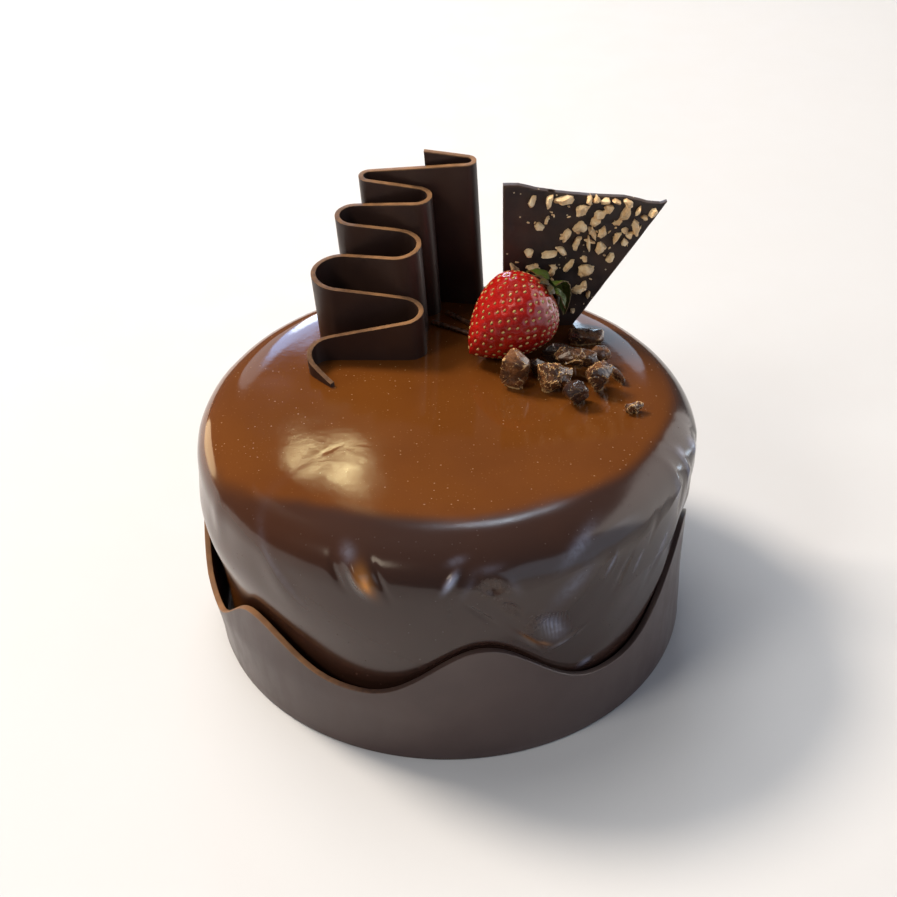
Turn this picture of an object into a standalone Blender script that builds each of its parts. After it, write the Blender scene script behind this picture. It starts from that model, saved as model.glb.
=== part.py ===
"""A glazed chocolate cake with a wavy chocolate band, a folded chocolate ribbon, a nut shard, fruit and chunks.

Metres, +Z up. The origin is the middle of the cake's flat base, and the front faces -Y.
"""

import math
import random

import bmesh
import bpy
from mathutils import Matrix, Vector

MM = 0.001
COLLECTION = "sachertorte_cake"
CUTTERS = "cutters"
# Touching pieces keep this gap between them.
GAP = 0.3 * MM

# The glazed cake
CAKE_RADIUS = 80.0 * MM
CAKE_HEIGHT = 80.8 * MM
SHOULDER_HEIGHT = 66.0 * MM
FLAT_TOP_RADIUS = 61.0 * MM
SHOULDER_ROUNDNESS = 2.45
SHOULDER_STEPS = 9
CAKE_SIDES = 84
# Below the shoulder the side tucks in, and the glaze pools at the foot.
SIDE_ROWS = 11
SIDE_TUCK = 4.2 * MM
FOOT_POOL = 1.3 * MM
FOOT_POOL_HEIGHT = 3.0 * MM
# Where the glaze ran thick or thin: direction in degrees, height, half width in degrees, half height, and depth.
GLAZE_SWELLS = (
    (-167.0, 51.0 * MM, 30.0, 10.0 * MM, 1.7 * MM),
    (-13.0, 52.0 * MM, 20.0, 9.0 * MM, -1.9 * MM),
    (-12.0, 76.0 * MM, 16.0, 6.0 * MM, 1.2 * MM),
    (-128.0, 27.0 * MM, 30.0, 17.0 * MM, -1.6 * MM),
    (-110.5, 61.0 * MM, 5.5, 7.0 * MM, 1.3 * MM),
    (-107.5, 54.5 * MM, 2.6, 3.0 * MM, 1.0 * MM),
    (-80.0, 60.0 * MM, 6.0, 3.0 * MM, -1.0 * MM),
    (-68.0, 48.0 * MM, 6.0, 5.0 * MM, -1.2 * MM),
    (-34.0, 58.0 * MM, 7.0, 7.0 * MM, 0.9 * MM),
)

# The wavy band round the foot
BAND_RADIUS = 79.8 * MM
BAND_THICKNESS = 2.0 * MM
BAND_SIDES = 120
BAND_ROWS = 3
# The wave's crests and troughs, in turn: direction in degrees and height. The last one leads back to the first.
BAND_WAVE = (
    (-190.0, 46.0 * MM),
    (-161.0, 20.5 * MM),
    (-138.5, 39.5 * MM),
    (-112.0, 27.0 * MM),
    (-83.5, 47.0 * MM),
    (-52.0, 23.5 * MM),
    (-19.0, 49.5 * MM),
    (14.0, 25.0 * MM),
    (45.0, 43.0 * MM),
    (74.0, 24.0 * MM),
    (106.0, 44.0 * MM),
    (138.0, 25.0 * MM),
)
TROUGH_WIDENING = 1.22
# How fast the glaze may swell out above the band's edge
SWELL_ABOVE_BAND = 0.3
# How far the band leans out at the top of its flare: direction in degrees, half width in degrees, and distance.
BAND_LEANS = (
    (-172.0, 40.0, 2.9 * MM),
    (-95.0, 30.0, 0.9 * MM),
    (-8.0, 20.0, -0.7 * MM),
)
FLARE_HEIGHT = 22.0 * MM

# The ribbon standing on the cake: each bend turns round an upright line at x and y, with its radius
RIBBON_THICKNESS = 1.6 * MM
RIBBON_BENDS = (
    (-37.8 * MM, 16.8 * MM, 6.1 * MM),
    (-11.9 * MM, 27.1 * MM, 5.2 * MM),
    (-34.5 * MM, 38.3 * MM, 7.2 * MM),
    (-12.3 * MM, 41.7 * MM, 6.2 * MM),
    (-28.2 * MM, 51.8 * MM, 4.6 * MM),
    (-5.6 * MM, 53.2 * MM, 3.9 * MM),
    (-21.7 * MM, 60.4 * MM, 2.5 * MM),
    (11.3 * MM, 58.6 * MM, 2.2 * MM),
)
RIBBON_START = (-36.2 * MM, 4.7 * MM)
RIBBON_END = (-2.7 * MM, 61.8 * MM)
RIBBON_LOW = 3.6 * MM
RIBBON_HIGH = 57.6 * MM
RIBBON_BOW = 3.75 * MM
# Sideways and backward lean for each metre of height
RIBBON_LEAN = (-0.049, -0.076)
BEND_STEP = math.radians(13.0)
STRAIGHT_STEP = 8.0 * MM

# The nut shard: an upright plate across the cake's back right, with one edge pushed into the top
SHARD_BACK = 42.0 * MM
SHARD_THICKNESS = 2.0 * MM
SHARD_SUNK = 3.0 * MM
SHARD_OUTLINE = (
    (20.1 * MM, CAKE_HEIGHT - SHARD_SUNK),
    (42.0 * MM, CAKE_HEIGHT - SHARD_SUNK),
    (44.6 * MM, 82.2 * MM),
    (58.0 * MM, 103.4 * MM),
    (72.6 * MM, 126.9 * MM),
    (70.6 * MM, 126.1 * MM),
    (66.0 * MM, 126.7 * MM),
    (58.8 * MM, 128.8 * MM),
    (50.0 * MM, 129.4 * MM),
    (40.5 * MM, 130.4 * MM),
    (30.0 * MM, 132.1 * MM),
    (24.5 * MM, 133.7 * MM),
    (19.6 * MM, 133.8 * MM),
)
NUT_SEED = 11
NUT_TRIES = 2600
NUT_LENGTHS = (3.6 * MM, 7.2 * MM)
NUT_SPACING = (4.1 * MM, 8.2 * MM)
NUT_EDGE_MARGIN = 2.0 * MM

# The strawberry lies on its side, tip to the lower left and leafy end against the shard
BERRY_MIDDLE = (20.9 * MM, 23.4 * MM, 93.9 * MM)
BERRY_LENGTH = 33.6 * MM
BERRY_RADIUS = 13.9 * MM
BERRY_HEADING = 25.0
BERRY_TILT = 31.0
BERRY_WIDEST = 0.68
BERRY_TIP_BLUNTNESS = 0.86
BERRY_SIDES = 32
BERRY_STEPS = 20
# The green leaves at its end: start, bend, tip and width direction in millimetres, width, and depth of its cup
BERRY_LEAVES = {
    "strawberry_leaf_1": ((35.4, 31.4, 103.4), (40.0, 34.6, 104.4), (40.4, 36.8, 88.0), (0.95, -0.3, 0.2), 6.4, 0.6),
    "strawberry_leaf_2": ((34.0, 31.4, 104.6), (32.0, 35.0, 107.4), (27.5, 37.4, 104.2), (0.7, 0.6, -0.2), 4.6, 0.4),
    "strawberry_leaf_3": ((36.2, 28.2, 102.0), (39.0, 27.2, 101.4), (39.2, 26.6, 96.4), (0.2, 0.9, 0.2), 3.4, 0.4),
}
LEAF_RIPPLE = 0.3
LEAF_THICKNESS = 0.5 * MM

# Chopped chocolate heaped at the front right: middle, size, turn and tilt in degrees, and seed
CHUNKS = {
    "chunk_01": ((22.4, 5.4, 87.7), (9.8, 7.4, 12.6), -14.0, 0.0, 3),
    "chunk_02": ((37.2, 18.0, 84.6), (12.5, 4.6, 6.4), -4.0, 0.0, 8),
    "chunk_03": ((42.4, 11.4, 87.0), (15.4, 5.8, 8.0), -12.0, 24.0, 5),
    "chunk_04": ((50.4, 15.4, 84.9), (7.0, 4.6, 7.0), 10.0, 0.0, 9),
    "chunk_05": ((34.6, 2.6, 86.0), (12.4, 7.2, 9.4), -8.0, 0.0, 21),
    "chunk_06": ((40.8, -5.3, 84.9), (8.0, 6.6, 7.4), 20.0, 0.0, 13),
    "chunk_07": ((48.8, 1.4, 86.1), (8.8, 7.0, 9.8), 32.0, 0.0, 17),
    "chunk_08": ((29.6, 11.5, 84.2), (4.6, 5.2, 6.0), 25.0, 0.0, 6),
    "chocolate_sliver": ((55.2, 8.2, 82.6), (2.4, 10.6, 2.8), 24.0, 0.0, 4),
    "chocolate_slab": ((47.2, 29.6, 83.5), (13.0, 6.4, 4.6), -16.0, 0.0, 14),
    "crumb": ((58.4, -10.6, 82.9), (7.0, 3.2, 3.4), 18.0, 0.0, 2),
}
CHUNK_POINTS = 26
CHUNK_BOXINESS = 5.0

# Two thin chocolate sticks lying behind the strawberry: start and end, x and y
STICK_RADIUS = 0.9 * MM
STICKS = {
    "stick_front": ((-4.2 * MM, 43.3 * MM), (12.2 * MM, 33.1 * MM)),
    "stick_back": ((1.0 * MM, 49.2 * MM), (15.6 * MM, 35.0 * MM)),
}

# Material colours, roughness
GLAZE = (0.060, 0.024, 0.012)
DARK_CHOCOLATE = (0.030, 0.014, 0.009)
MILK_CHOCOLATE = (0.110, 0.050, 0.026)
NUT = (0.60, 0.38, 0.20)
BERRY_RED = (0.52, 0.018, 0.014)
LEAF_GREEN = (0.020, 0.050, 0.006)


def clear_scene():
    for old in list(bpy.data.objects):
        bpy.data.objects.remove(old, do_unlink=True)


def add_collection(name):
    made = bpy.data.collections.new(name)
    bpy.context.scene.collection.children.link(made)
    return made


def material(name, colour, roughness):
    made = bpy.data.materials.new(name)
    made.use_nodes = True
    shader = made.node_tree.nodes["Principled BSDF"]
    shader.inputs["Base Color"].default_value = (*colour, 1.0)
    shader.inputs["Roughness"].default_value = roughness
    shader.inputs["Metallic"].default_value = 0.0
    return made


def add_object(name, data, collection, finish=None, sharp_angle=40.0):
    """Links the data as a named object. With a finish it is a visible piece, shaded smooth up to an angle."""
    made = bpy.data.objects.new(name, data)
    collection.objects.link(made)
    if finish:
        data.materials.append(finish)
        data.shade_smooth()
        data.set_sharp_from_angle(angle=math.radians(sharp_angle))
    return made


def mesh_from(bm, name):
    data = bpy.data.meshes.new(name)
    bm.to_mesh(data)
    bm.free()
    return data


def turned_mesh(name, profile, sides):
    """The mesh of a profile of (radius, height) points, top to bottom, turned once round Z."""
    bm = bmesh.new()
    points = [bm.verts.new((radius, 0.0, height)) for radius, height in profile]
    for upper, lower in zip(points, points[1:]):
        bm.edges.new((upper, lower))
    guide = bpy.data.objects.new(name, mesh_from(bm, name))
    bpy.context.scene.collection.objects.link(guide)
    screw = guide.modifiers.new("Turn", "SCREW")
    screw.steps = sides
    screw.render_steps = sides
    screw.use_merge_vertices = True
    screw.merge_threshold = 0.01 * MM
    return applied(guide, name)


def applied(guide, name):
    """The guide's mesh with its modifiers, in world space. The guide is removed."""
    bpy.context.view_layer.update()
    graph = bpy.context.evaluated_depsgraph_get()
    data = bpy.data.meshes.new_from_object(guide.evaluated_get(graph))
    data.transform(guide.matrix_world)
    data.name = name
    bpy.data.objects.remove(guide, do_unlink=True)
    return data


def bell(offset, half_width):
    """One at an offset of nought, falling smoothly away on both sides."""
    return math.exp(-((offset / half_width) ** 2))


def turn_between(degrees, other):
    """The signed angle from one direction to the other, the short way round."""
    return (degrees - other + 180.0) % 360.0 - 180.0


def band_height(degrees):
    """The band's height in a direction: rounded crests, with wider troughs between them."""
    first = BAND_WAVE[0][0]
    around = first + (degrees - first) % 360.0
    marks = (*BAND_WAVE, (first + 360.0, BAND_WAVE[0][1]))
    for (start, start_height), (end, end_height) in zip(marks, marks[1:]):
        if around <= end:
            break
    along = (around - start) / (end - start)
    rising = end_height > start_height
    share = along if rising else 1.0 - along
    low, high = sorted((start_height, end_height))
    return low + (high - low) * (1.0 - math.cos(math.pi * share**TROUGH_WIDENING)) / 2.0


def band_outside(degrees, height):
    """The band's outer radius in a direction and at a height."""
    lean = sum(depth * bell(turn_between(degrees, middle), half) for middle, half, depth in BAND_LEANS)
    return BAND_RADIUS + lean * min(height / FLARE_HEIGHT, 1.0) ** 1.3


def cake_profile():
    """The cake's outline from the middle of its top down to the edge of its base: radius and height."""
    points = [(0.0, CAKE_HEIGHT), (FLAT_TOP_RADIUS * 0.5, CAKE_HEIGHT)]
    across = CAKE_RADIUS - FLAT_TOP_RADIUS
    down = CAKE_HEIGHT - SHOULDER_HEIGHT
    power = 2.0 / SHOULDER_ROUNDNESS
    for step in range(SHOULDER_STEPS + 1):
        angle = math.pi / 2 * step / SHOULDER_STEPS
        radius = FLAT_TOP_RADIUS + across * math.sin(angle) ** power
        height = SHOULDER_HEIGHT + down * math.cos(angle) ** power
        points.append((radius, height))
    for row in reversed(range(SIDE_ROWS)):
        height = SHOULDER_HEIGHT * row / SIDE_ROWS
        points.append((side_radius(height), height))
    points.append((0.0, 0.0))
    return points


def side_radius(height):
    """The cake's radius below the shoulder, before the swells in the glaze."""
    share = height / SHOULDER_HEIGHT
    eased = share * share * (3.0 - 2.0 * share)
    return CAKE_RADIUS - SIDE_TUCK * (1.0 - eased) + FOOT_POOL * math.exp(-height / FOOT_POOL_HEIGHT)


def with_swells(point):
    """Moves a point of the turned cake in or out where the glaze is thick or thin, clear of the band."""
    radius = math.hypot(point.x, point.y)
    if radius < FLAT_TOP_RADIUS:
        return point
    degrees = math.degrees(math.atan2(point.y, point.x))
    swollen = radius
    for middle, height, half_width, half_height, depth in GLAZE_SWELLS:
        turn = turn_between(degrees, middle)
        swollen += depth * bell(turn, half_width) * bell(point.z - height, half_height)
    edge = band_height(degrees)
    inside = band_outside(degrees, min(point.z, edge)) - BAND_THICKNESS - 3.0 * GAP
    swollen = min(swollen, inside + SWELL_ABOVE_BAND * max(0.0, point.z - edge))
    return Vector((point.x * swollen / radius, point.y * swollen / radius, point.z))


def make_cake(collection, cutters):
    data = turned_mesh("cake_body", cake_profile(), CAKE_SIDES)
    for corner in data.vertices:
        corner.co = with_swells(corner.co)
    body = add_object("cake_body", data, collection, material("glazed_cake", GLAZE, 0.12))
    slot_low = min(height for _, height in SHARD_OUTLINE)
    slot_left = SHARD_OUTLINE[0][0]
    slot_right = SHARD_OUTLINE[2][0]
    bm = bmesh.new()
    bmesh.ops.create_cube(bm, size=1.0)
    slot_size = Vector((slot_right - slot_left, SHARD_THICKNESS, 2.0 * SHARD_SUNK)) + Vector((GAP, GAP, 0.0)) * 2.0
    middle = Vector(((slot_left + slot_right) / 2, SHARD_BACK, slot_low - GAP + SHARD_SUNK))
    bmesh.ops.transform(bm, matrix=Matrix.Translation(middle) @ Matrix.Diagonal((*slot_size, 1.0)), verts=bm.verts)
    slot = add_object("shard_slot", mesh_from(bm, "shard_slot"), cutters)
    slot.hide_render = True
    slot.display_type = "WIRE"
    cut = body.modifiers.new("ShardSlot", "BOOLEAN")
    cut.operation = "DIFFERENCE"
    cut.object = slot


def make_band(collection):
    """A ring of faces, raised row by row to the wavy edge, then thickened inwards."""
    bm = bmesh.new()
    bmesh.ops.create_circle(bm, segments=BAND_SIDES, radius=BAND_RADIUS)
    for corner in bm.verts:
        corner.co = corner.co.normalized() * BAND_RADIUS
    edges = list(bm.edges)
    for row in range(1, BAND_ROWS + 1):
        raised = bmesh.ops.extrude_edge_only(bm, edges=edges)["geom"]
        for corner in (part for part in raised if isinstance(part, bmesh.types.BMVert)):
            degrees = math.degrees(math.atan2(corner.co.y, corner.co.x))
            height = band_height(degrees) * row / BAND_ROWS
            outside = band_outside(degrees, height)
            level = Vector((corner.co.x, corner.co.y, 0.0)).normalized()
            corner.co = level * outside + Vector((0.0, 0.0, height))
        edges = [part for part in raised if isinstance(part, bmesh.types.BMEdge)]
    bmesh.ops.recalc_face_normals(bm, faces=bm.faces)
    finish = material("band_chocolate", DARK_CHOCOLATE, 0.35)
    band = add_object("chocolate_band", mesh_from(bm, "chocolate_band"), collection, finish)
    walls = band.modifiers.new("Thickness", "SOLIDIFY")
    walls.thickness = BAND_THICKNESS
    walls.offset = -1.0
    walls.use_even_offset = True


def ribbon_route():
    """The ribbon's middle line on the cake's top: arcs round its bends, joined by straight runs that touch them."""
    bends = [(Vector(RIBBON_START), 0.0, 1.0)]
    for number, (x, y, radius) in enumerate(RIBBON_BENDS):
        bends.append((Vector((x, y)), radius, -1.0 if number % 2 == 0 else 1.0))
    bends.append((Vector(RIBBON_END), 0.0, 1.0))
    headings = []
    for (start, radius, turn), (end, next_radius, next_turn) in zip(bends, bends[1:]):
        between = end - start
        slant = math.asin((next_turn * next_radius - turn * radius) / between.length)
        headings.append(math.atan2(between.y, between.x) - slant)
    route = [bends[0][0]]
    for number in range(1, len(bends) - 1):
        middle, radius, turn = bends[number]
        start, end = headings[number - 1], headings[number]
        sweep = (end - start) * turn % math.tau * turn
        steps = max(2, round(abs(sweep) / BEND_STEP))
        for step in range(steps + 1):
            heading = start + sweep * step / steps
            left = Vector((-math.sin(heading), math.cos(heading)))
            point = middle - left * turn * radius
            if step == 0:
                add_straight(route, point)
            else:
                route.append(point)
    add_straight(route, bends[-1][0])
    return route


def add_straight(route, end):
    start = route[-1]
    steps = max(1, round((end - start).length / STRAIGHT_STEP))
    for step in range(1, steps + 1):
        route.append(start.lerp(end, step / steps))


def make_ribbon(collection):
    route = ribbon_route()
    lengths = [0.0]
    for start, end in zip(route, route[1:]):
        lengths.append(lengths[-1] + (end - start).length)
    bm = bmesh.new()
    foot = [bm.verts.new((point.x, point.y, CAKE_HEIGHT + GAP)) for point in route]
    edges = [bm.edges.new(pair) for pair in zip(foot, foot[1:])]
    order = {tuple(corner.co): length / lengths[-1] for corner, length in zip(foot, lengths)}
    raised = bmesh.ops.extrude_edge_only(bm, edges=edges)["geom"]
    for corner in (part for part in raised if isinstance(part, bmesh.types.BMVert)):
        share = order[tuple(corner.co)]
        height = RIBBON_LOW + (RIBBON_HIGH - RIBBON_LOW) * share + 4.0 * RIBBON_BOW * share * (1.0 - share)
        corner.co += Vector((RIBBON_LEAN[0] * height, RIBBON_LEAN[1] * height, height))
    finish = material("ribbon_chocolate", DARK_CHOCOLATE, 0.3)
    ribbon = add_object("chocolate_ribbon", mesh_from(bm, "chocolate_ribbon"), collection, finish)
    walls = ribbon.modifiers.new("Thickness", "SOLIDIFY")
    walls.thickness = RIBBON_THICKNESS
    walls.offset = 0.0
    walls.use_even_offset = True


def plate_mesh(name, outline, thickness):
    """The mesh of a flat outline in the XZ plane, thickened evenly along Y."""
    curve = bpy.data.curves.new(name, "CURVE")
    curve.dimensions = "2D"
    curve.fill_mode = "BOTH"
    curve.extrude = thickness / 2
    curve.resolution_u = 1
    line = curve.splines.new("POLY")
    line.points.add(len(outline) - 1)
    line.use_cyclic_u = True
    for point, (x, z) in zip(line.points, outline):
        point.co = (x, z, 0.0, 1.0)
    guide = bpy.data.objects.new(name, curve)
    guide.rotation_euler = (math.pi / 2, 0.0, 0.0)
    bpy.context.scene.collection.objects.link(guide)
    data = applied(guide, name)
    bm = bmesh.new()
    bm.from_mesh(data)
    bmesh.ops.remove_doubles(bm, verts=bm.verts, dist=0.01 * MM)
    bmesh.ops.recalc_face_normals(bm, faces=bm.faces)
    bm.to_mesh(data)
    bm.free()
    return data


def depth_inside(x, z, outline):
    """How far a point lies inside the outline, or a negative distance when it is outside."""
    nearest = math.inf
    inside = False
    for (x1, z1), (x2, z2) in zip(outline, (*outline[1:], outline[0])):
        side = Vector((x2 - x1, z2 - z1))
        share = max(0.0, min(1.0, Vector((x - x1, z - z1)).dot(side) / side.length_squared))
        nearest = min(nearest, math.hypot(x - x1 - side.x * share, z - z1 - side.y * share))
        if (z1 > z) != (z2 > z) and x < x1 + (z - z1) / (z2 - z1) * (x2 - x1):
            inside = not inside
    return nearest if inside else -nearest


def nut_places():
    """Places and lengths of the nuts: close together at the upper right, few at the lower left."""
    draw = random.Random(NUT_SEED)
    xs = [x for x, _ in SHARD_OUTLINE]
    zs = [z for _, z in SHARD_OUTLINE]
    places = []
    for _ in range(NUT_TRIES):
        x = draw.uniform(min(xs), max(xs))
        z = draw.uniform(CAKE_HEIGHT + 5.0 * MM, max(zs))
        length = draw.uniform(*NUT_LENGTHS)
        if depth_inside(x, z, SHARD_OUTLINE) < NUT_EDGE_MARGIN:
            continue
        crowding = max(0.0, min(1.0, ((x - 26.0 * MM) + (z - 108.0 * MM) * 0.8) / (34.0 * MM)))
        if x < 26.0 * MM or draw.random() > 0.25 + crowding:
            continue
        if (x - BERRY_MIDDLE[0]) ** 2 + (z - BERRY_MIDDLE[2]) ** 2 < (BERRY_LENGTH * 0.55) ** 2:
            continue
        spacing = NUT_SPACING[1] + (NUT_SPACING[0] - NUT_SPACING[1]) * crowding
        if all(math.hypot(x - other[0], z - other[1]) > spacing for other in places):
            places.append((x, z, length))
    return places


def nut_mesh(name, x, z, length, draw):
    """One chopped nut: a rough ball of few faces, half sunk in the shard's front."""
    bm = bmesh.new()
    bmesh.ops.create_icosphere(bm, subdivisions=1, radius=0.5)
    for corner in bm.verts:
        corner.co *= draw.uniform(0.82, 1.12)
    width = length * draw.uniform(0.5, 0.8)
    height = draw.uniform(2.6, 3.4) * MM
    turn = Matrix.Rotation(draw.uniform(0.0, math.pi), 4, "Y")
    place = Vector((x, SHARD_BACK - SHARD_THICKNESS / 2 - 0.2 * MM, z))
    matrix = Matrix.Translation(place) @ turn @ Matrix.Diagonal((length, height, width, 1.0))
    bmesh.ops.transform(bm, matrix=matrix, verts=bm.verts)
    return mesh_from(bm, name)


def make_shard(collection):
    """The plate with its chopped nuts, all joined into one solid."""
    data = plate_mesh("nut_shard", SHARD_OUTLINE, SHARD_THICKNESS)
    data.transform(Matrix.Translation((0.0, SHARD_BACK, 0.0)))
    shard = add_object("nut_shard", data, collection, material("nut_shard", MILK_CHOCOLATE, 0.3))
    nuts = add_collection("nuts")
    draw = random.Random(NUT_SEED + 1)
    for number, (x, z, length) in enumerate(nut_places()):
        add_object(f"nut_{number:02d}", nut_mesh(f"nut_{number:02d}", x, z, length, draw), nuts)
    join = shard.modifiers.new("Nuts", "BOOLEAN")
    join.operation = "UNION"
    join.operand_type = "COLLECTION"
    join.collection = nuts
    bpy.context.view_layer.update()
    graph = bpy.context.evaluated_depsgraph_get()
    joined = bpy.data.meshes.new_from_object(shard.evaluated_get(graph))
    shard.modifiers.remove(join)
    shard.data = joined
    joined.materials.clear()
    joined.materials.append(bpy.data.materials["nut_shard"])
    for nut in list(nuts.objects):
        bpy.data.objects.remove(nut, do_unlink=True)
    bpy.data.collections.remove(nuts)


def berry_radius(share):
    """The strawberry's radius at a share of its length from tip to leafy end."""
    if share < BERRY_WIDEST:
        return BERRY_RADIUS * (1.0 - (1.0 - share / BERRY_WIDEST) ** 2) ** BERRY_TIP_BLUNTNESS
    return BERRY_RADIUS * math.sqrt(max(0.0, 1.0 - ((share - BERRY_WIDEST) / (1.0 - BERRY_WIDEST)) ** 2))


def berry_matrix():
    """Carries the upright berry, tip down at the origin's foot, to where it lies."""
    lean = Matrix.Rotation(math.radians(90.0 - BERRY_TILT), 4, "Y")
    heading = Matrix.Rotation(math.radians(BERRY_HEADING), 4, "Z")
    return Matrix.Translation(BERRY_MIDDLE) @ heading @ lean


def make_strawberry(collection):
    profile = []
    for step in range(BERRY_STEPS + 1):
        share = 0.5 - 0.5 * math.cos(math.pi * (1.0 - step / BERRY_STEPS))
        profile.append((berry_radius(share), (share - 0.5) * BERRY_LENGTH))
    data = turned_mesh("strawberry", profile, BERRY_SIDES)
    data.transform(berry_matrix())
    add_object("strawberry", data, collection, material("strawberry", BERRY_RED, 0.2))


def make_leaf(name, collection, start, bend, tip, across, width, cup):
    """A thin wavy leaf along a curve from the berry's end: a triangulated sheet, thickened evenly."""
    start, bend, tip, across = (Vector(point) for point in (start, bend, tip, across))
    bm = bmesh.new()
    bmesh.ops.create_grid(bm, x_segments=9, y_segments=4, size=0.5)
    for corner in bm.verts:
        along = corner.co.x + 0.5
        side = corner.co.y * 2.0
        middle = start * (1.0 - along) ** 2 + bend * 2.0 * along * (1.0 - along) + tip * along**2
        heading = ((bend - start) * (1.0 - along) + (tip - bend) * along).normalized()
        sideways = (across - heading * across.dot(heading)).normalized()
        half = width / 2 * max(math.sin(math.pi * (0.14 + 0.84 * along)), 0.08) ** 0.8
        out = cup * side**2 + LEAF_RIPPLE * math.sin(9.0 * along + 2.0 * side)
        corner.co = (middle + sideways * side * half + heading.cross(sideways) * out) * MM
    bmesh.ops.triangulate(bm, faces=bm.faces)
    finish = bpy.data.materials.get("leaf") or material("leaf", LEAF_GREEN, 0.5)
    leaf = add_object(name, mesh_from(bm, name), collection, finish)
    body = leaf.modifiers.new("Thickness", "SOLIDIFY")
    body.thickness = LEAF_THICKNESS
    body.offset = 0.0


def make_chunk(name, collection, finish, middle, size, turn, tilt, seed):
    """A broken chunk: the hull of points drawn on a rough box, flat underneath."""
    draw = random.Random(seed)
    bm = bmesh.new()
    for _ in range(CHUNK_POINTS):
        way = Vector((draw.gauss(0.0, 1.0), draw.gauss(0.0, 1.0), draw.gauss(0.0, 1.0))).normalized()
        stretch = sum(abs(part) ** CHUNK_BOXINESS for part in way) ** (-1.0 / CHUNK_BOXINESS)
        bm.verts.new(way * stretch * draw.uniform(0.86, 1.0) * 0.5)
    hull = bmesh.ops.convex_hull(bm, input=bm.verts)
    loose = [part for part in hull["geom_interior"] if isinstance(part, bmesh.types.BMVert)]
    bmesh.ops.delete(bm, geom=loose, context="VERTS")
    place = Matrix.Translation(Vector(middle) * MM)
    turned = Matrix.Rotation(math.radians(turn), 4, "Z") @ Matrix.Rotation(math.radians(tilt), 4, "X")
    matrix = place @ turned @ Matrix.Diagonal((*(Vector(size) * MM), 1.0))
    bmesh.ops.transform(bm, matrix=matrix, verts=bm.verts)
    floor = CAKE_HEIGHT + GAP
    for corner in bm.verts:
        corner.co.z = max(corner.co.z, floor)
    again = bmesh.ops.convex_hull(bm, input=bm.verts)
    loose = [part for part in again["geom_interior"] if isinstance(part, bmesh.types.BMVert)]
    bmesh.ops.delete(bm, geom=loose, context="VERTS")
    bmesh.ops.recalc_face_normals(bm, faces=bm.faces)
    add_object(name, mesh_from(bm, name), collection, finish, sharp_angle=25.0)


def make_stick(name, collection, finish, start, end):
    between = Vector(end) - Vector(start)
    bm = bmesh.new()
    bmesh.ops.create_cone(
        bm, cap_ends=True, segments=10, radius1=STICK_RADIUS, radius2=STICK_RADIUS * 0.8, depth=between.length
    )
    middle = (Vector(start) + Vector(end)) / 2
    place = Matrix.Translation((middle.x, middle.y, CAKE_HEIGHT + GAP + STICK_RADIUS))
    heading = Matrix.Rotation(math.atan2(between.y, between.x), 4, "Z")
    bmesh.ops.transform(bm, matrix=place @ heading @ Matrix.Rotation(math.pi / 2, 4, "Y"), verts=bm.verts)
    add_object(name, mesh_from(bm, name), collection, finish)


def main():
    clear_scene()
    collection = add_collection(COLLECTION)
    cutters = add_collection(CUTTERS)
    make_cake(collection, cutters)
    make_band(collection)
    make_ribbon(collection)
    make_shard(collection)
    make_strawberry(collection)
    for name, shape in BERRY_LEAVES.items():
        make_leaf(name, collection, *shape)
    chunk_finish = material("chopped_chocolate", MILK_CHOCOLATE, 0.35)
    for name, shape in CHUNKS.items():
        make_chunk(name, collection, chunk_finish, *shape)
    stick_finish = material("stick_chocolate", DARK_CHOCOLATE, 0.3)
    for name, ends in STICKS.items():
        make_stick(name, collection, stick_finish, *ends)


main()
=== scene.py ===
"""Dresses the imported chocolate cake: its glaze, wavy band, folded ribbon, nut shard, strawberry and chopped chocolate.

Metres, +Z up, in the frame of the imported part. Each operator makes one piece or a group of like pieces, and main()
runs them in order.
"""

import math
import random

import bmesh
import bpy
from bpy.props import FloatProperty, FloatVectorProperty, IntProperty, PointerProperty
from mathutils import Matrix, Vector, kdtree, noise


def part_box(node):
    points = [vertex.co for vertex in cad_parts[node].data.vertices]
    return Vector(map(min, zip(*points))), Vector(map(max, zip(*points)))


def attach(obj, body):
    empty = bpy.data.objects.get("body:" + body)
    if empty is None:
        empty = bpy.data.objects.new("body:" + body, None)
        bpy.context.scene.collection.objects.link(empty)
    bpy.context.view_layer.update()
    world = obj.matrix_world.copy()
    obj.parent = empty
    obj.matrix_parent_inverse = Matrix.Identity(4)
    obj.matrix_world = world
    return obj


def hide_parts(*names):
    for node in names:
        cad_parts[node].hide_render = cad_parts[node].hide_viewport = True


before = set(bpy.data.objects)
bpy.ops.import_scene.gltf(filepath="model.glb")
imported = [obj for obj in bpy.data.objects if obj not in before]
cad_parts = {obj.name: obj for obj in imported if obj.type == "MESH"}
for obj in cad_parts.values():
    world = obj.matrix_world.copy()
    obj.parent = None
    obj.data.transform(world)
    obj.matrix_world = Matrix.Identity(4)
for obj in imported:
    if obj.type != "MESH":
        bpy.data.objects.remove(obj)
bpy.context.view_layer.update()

bl_info = {
    "name": "Glazed Chocolate Cake",
    "version": (1, 0, 0),
    "blender": (4, 5, 0),
    "location": "3D View > Sidebar > Cake",
    "description": "Makes a glazed chocolate cake and its decorations around the packed solids",
    "category": "Add Mesh",
}

MM = 0.001
BODY = "root"
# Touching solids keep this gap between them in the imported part.
GAP = 0.3 * MM
# The decorations reach this far into the glaze, so that no gap shows under them.
SINK = 0.25 * MM
# The glaze may not swell past this radius on the right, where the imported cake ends.
WIDEST_RIGHT = 79.85 * MM
GOLDEN_ANGLE = math.pi * (3.0 - math.sqrt(5.0))

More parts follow.
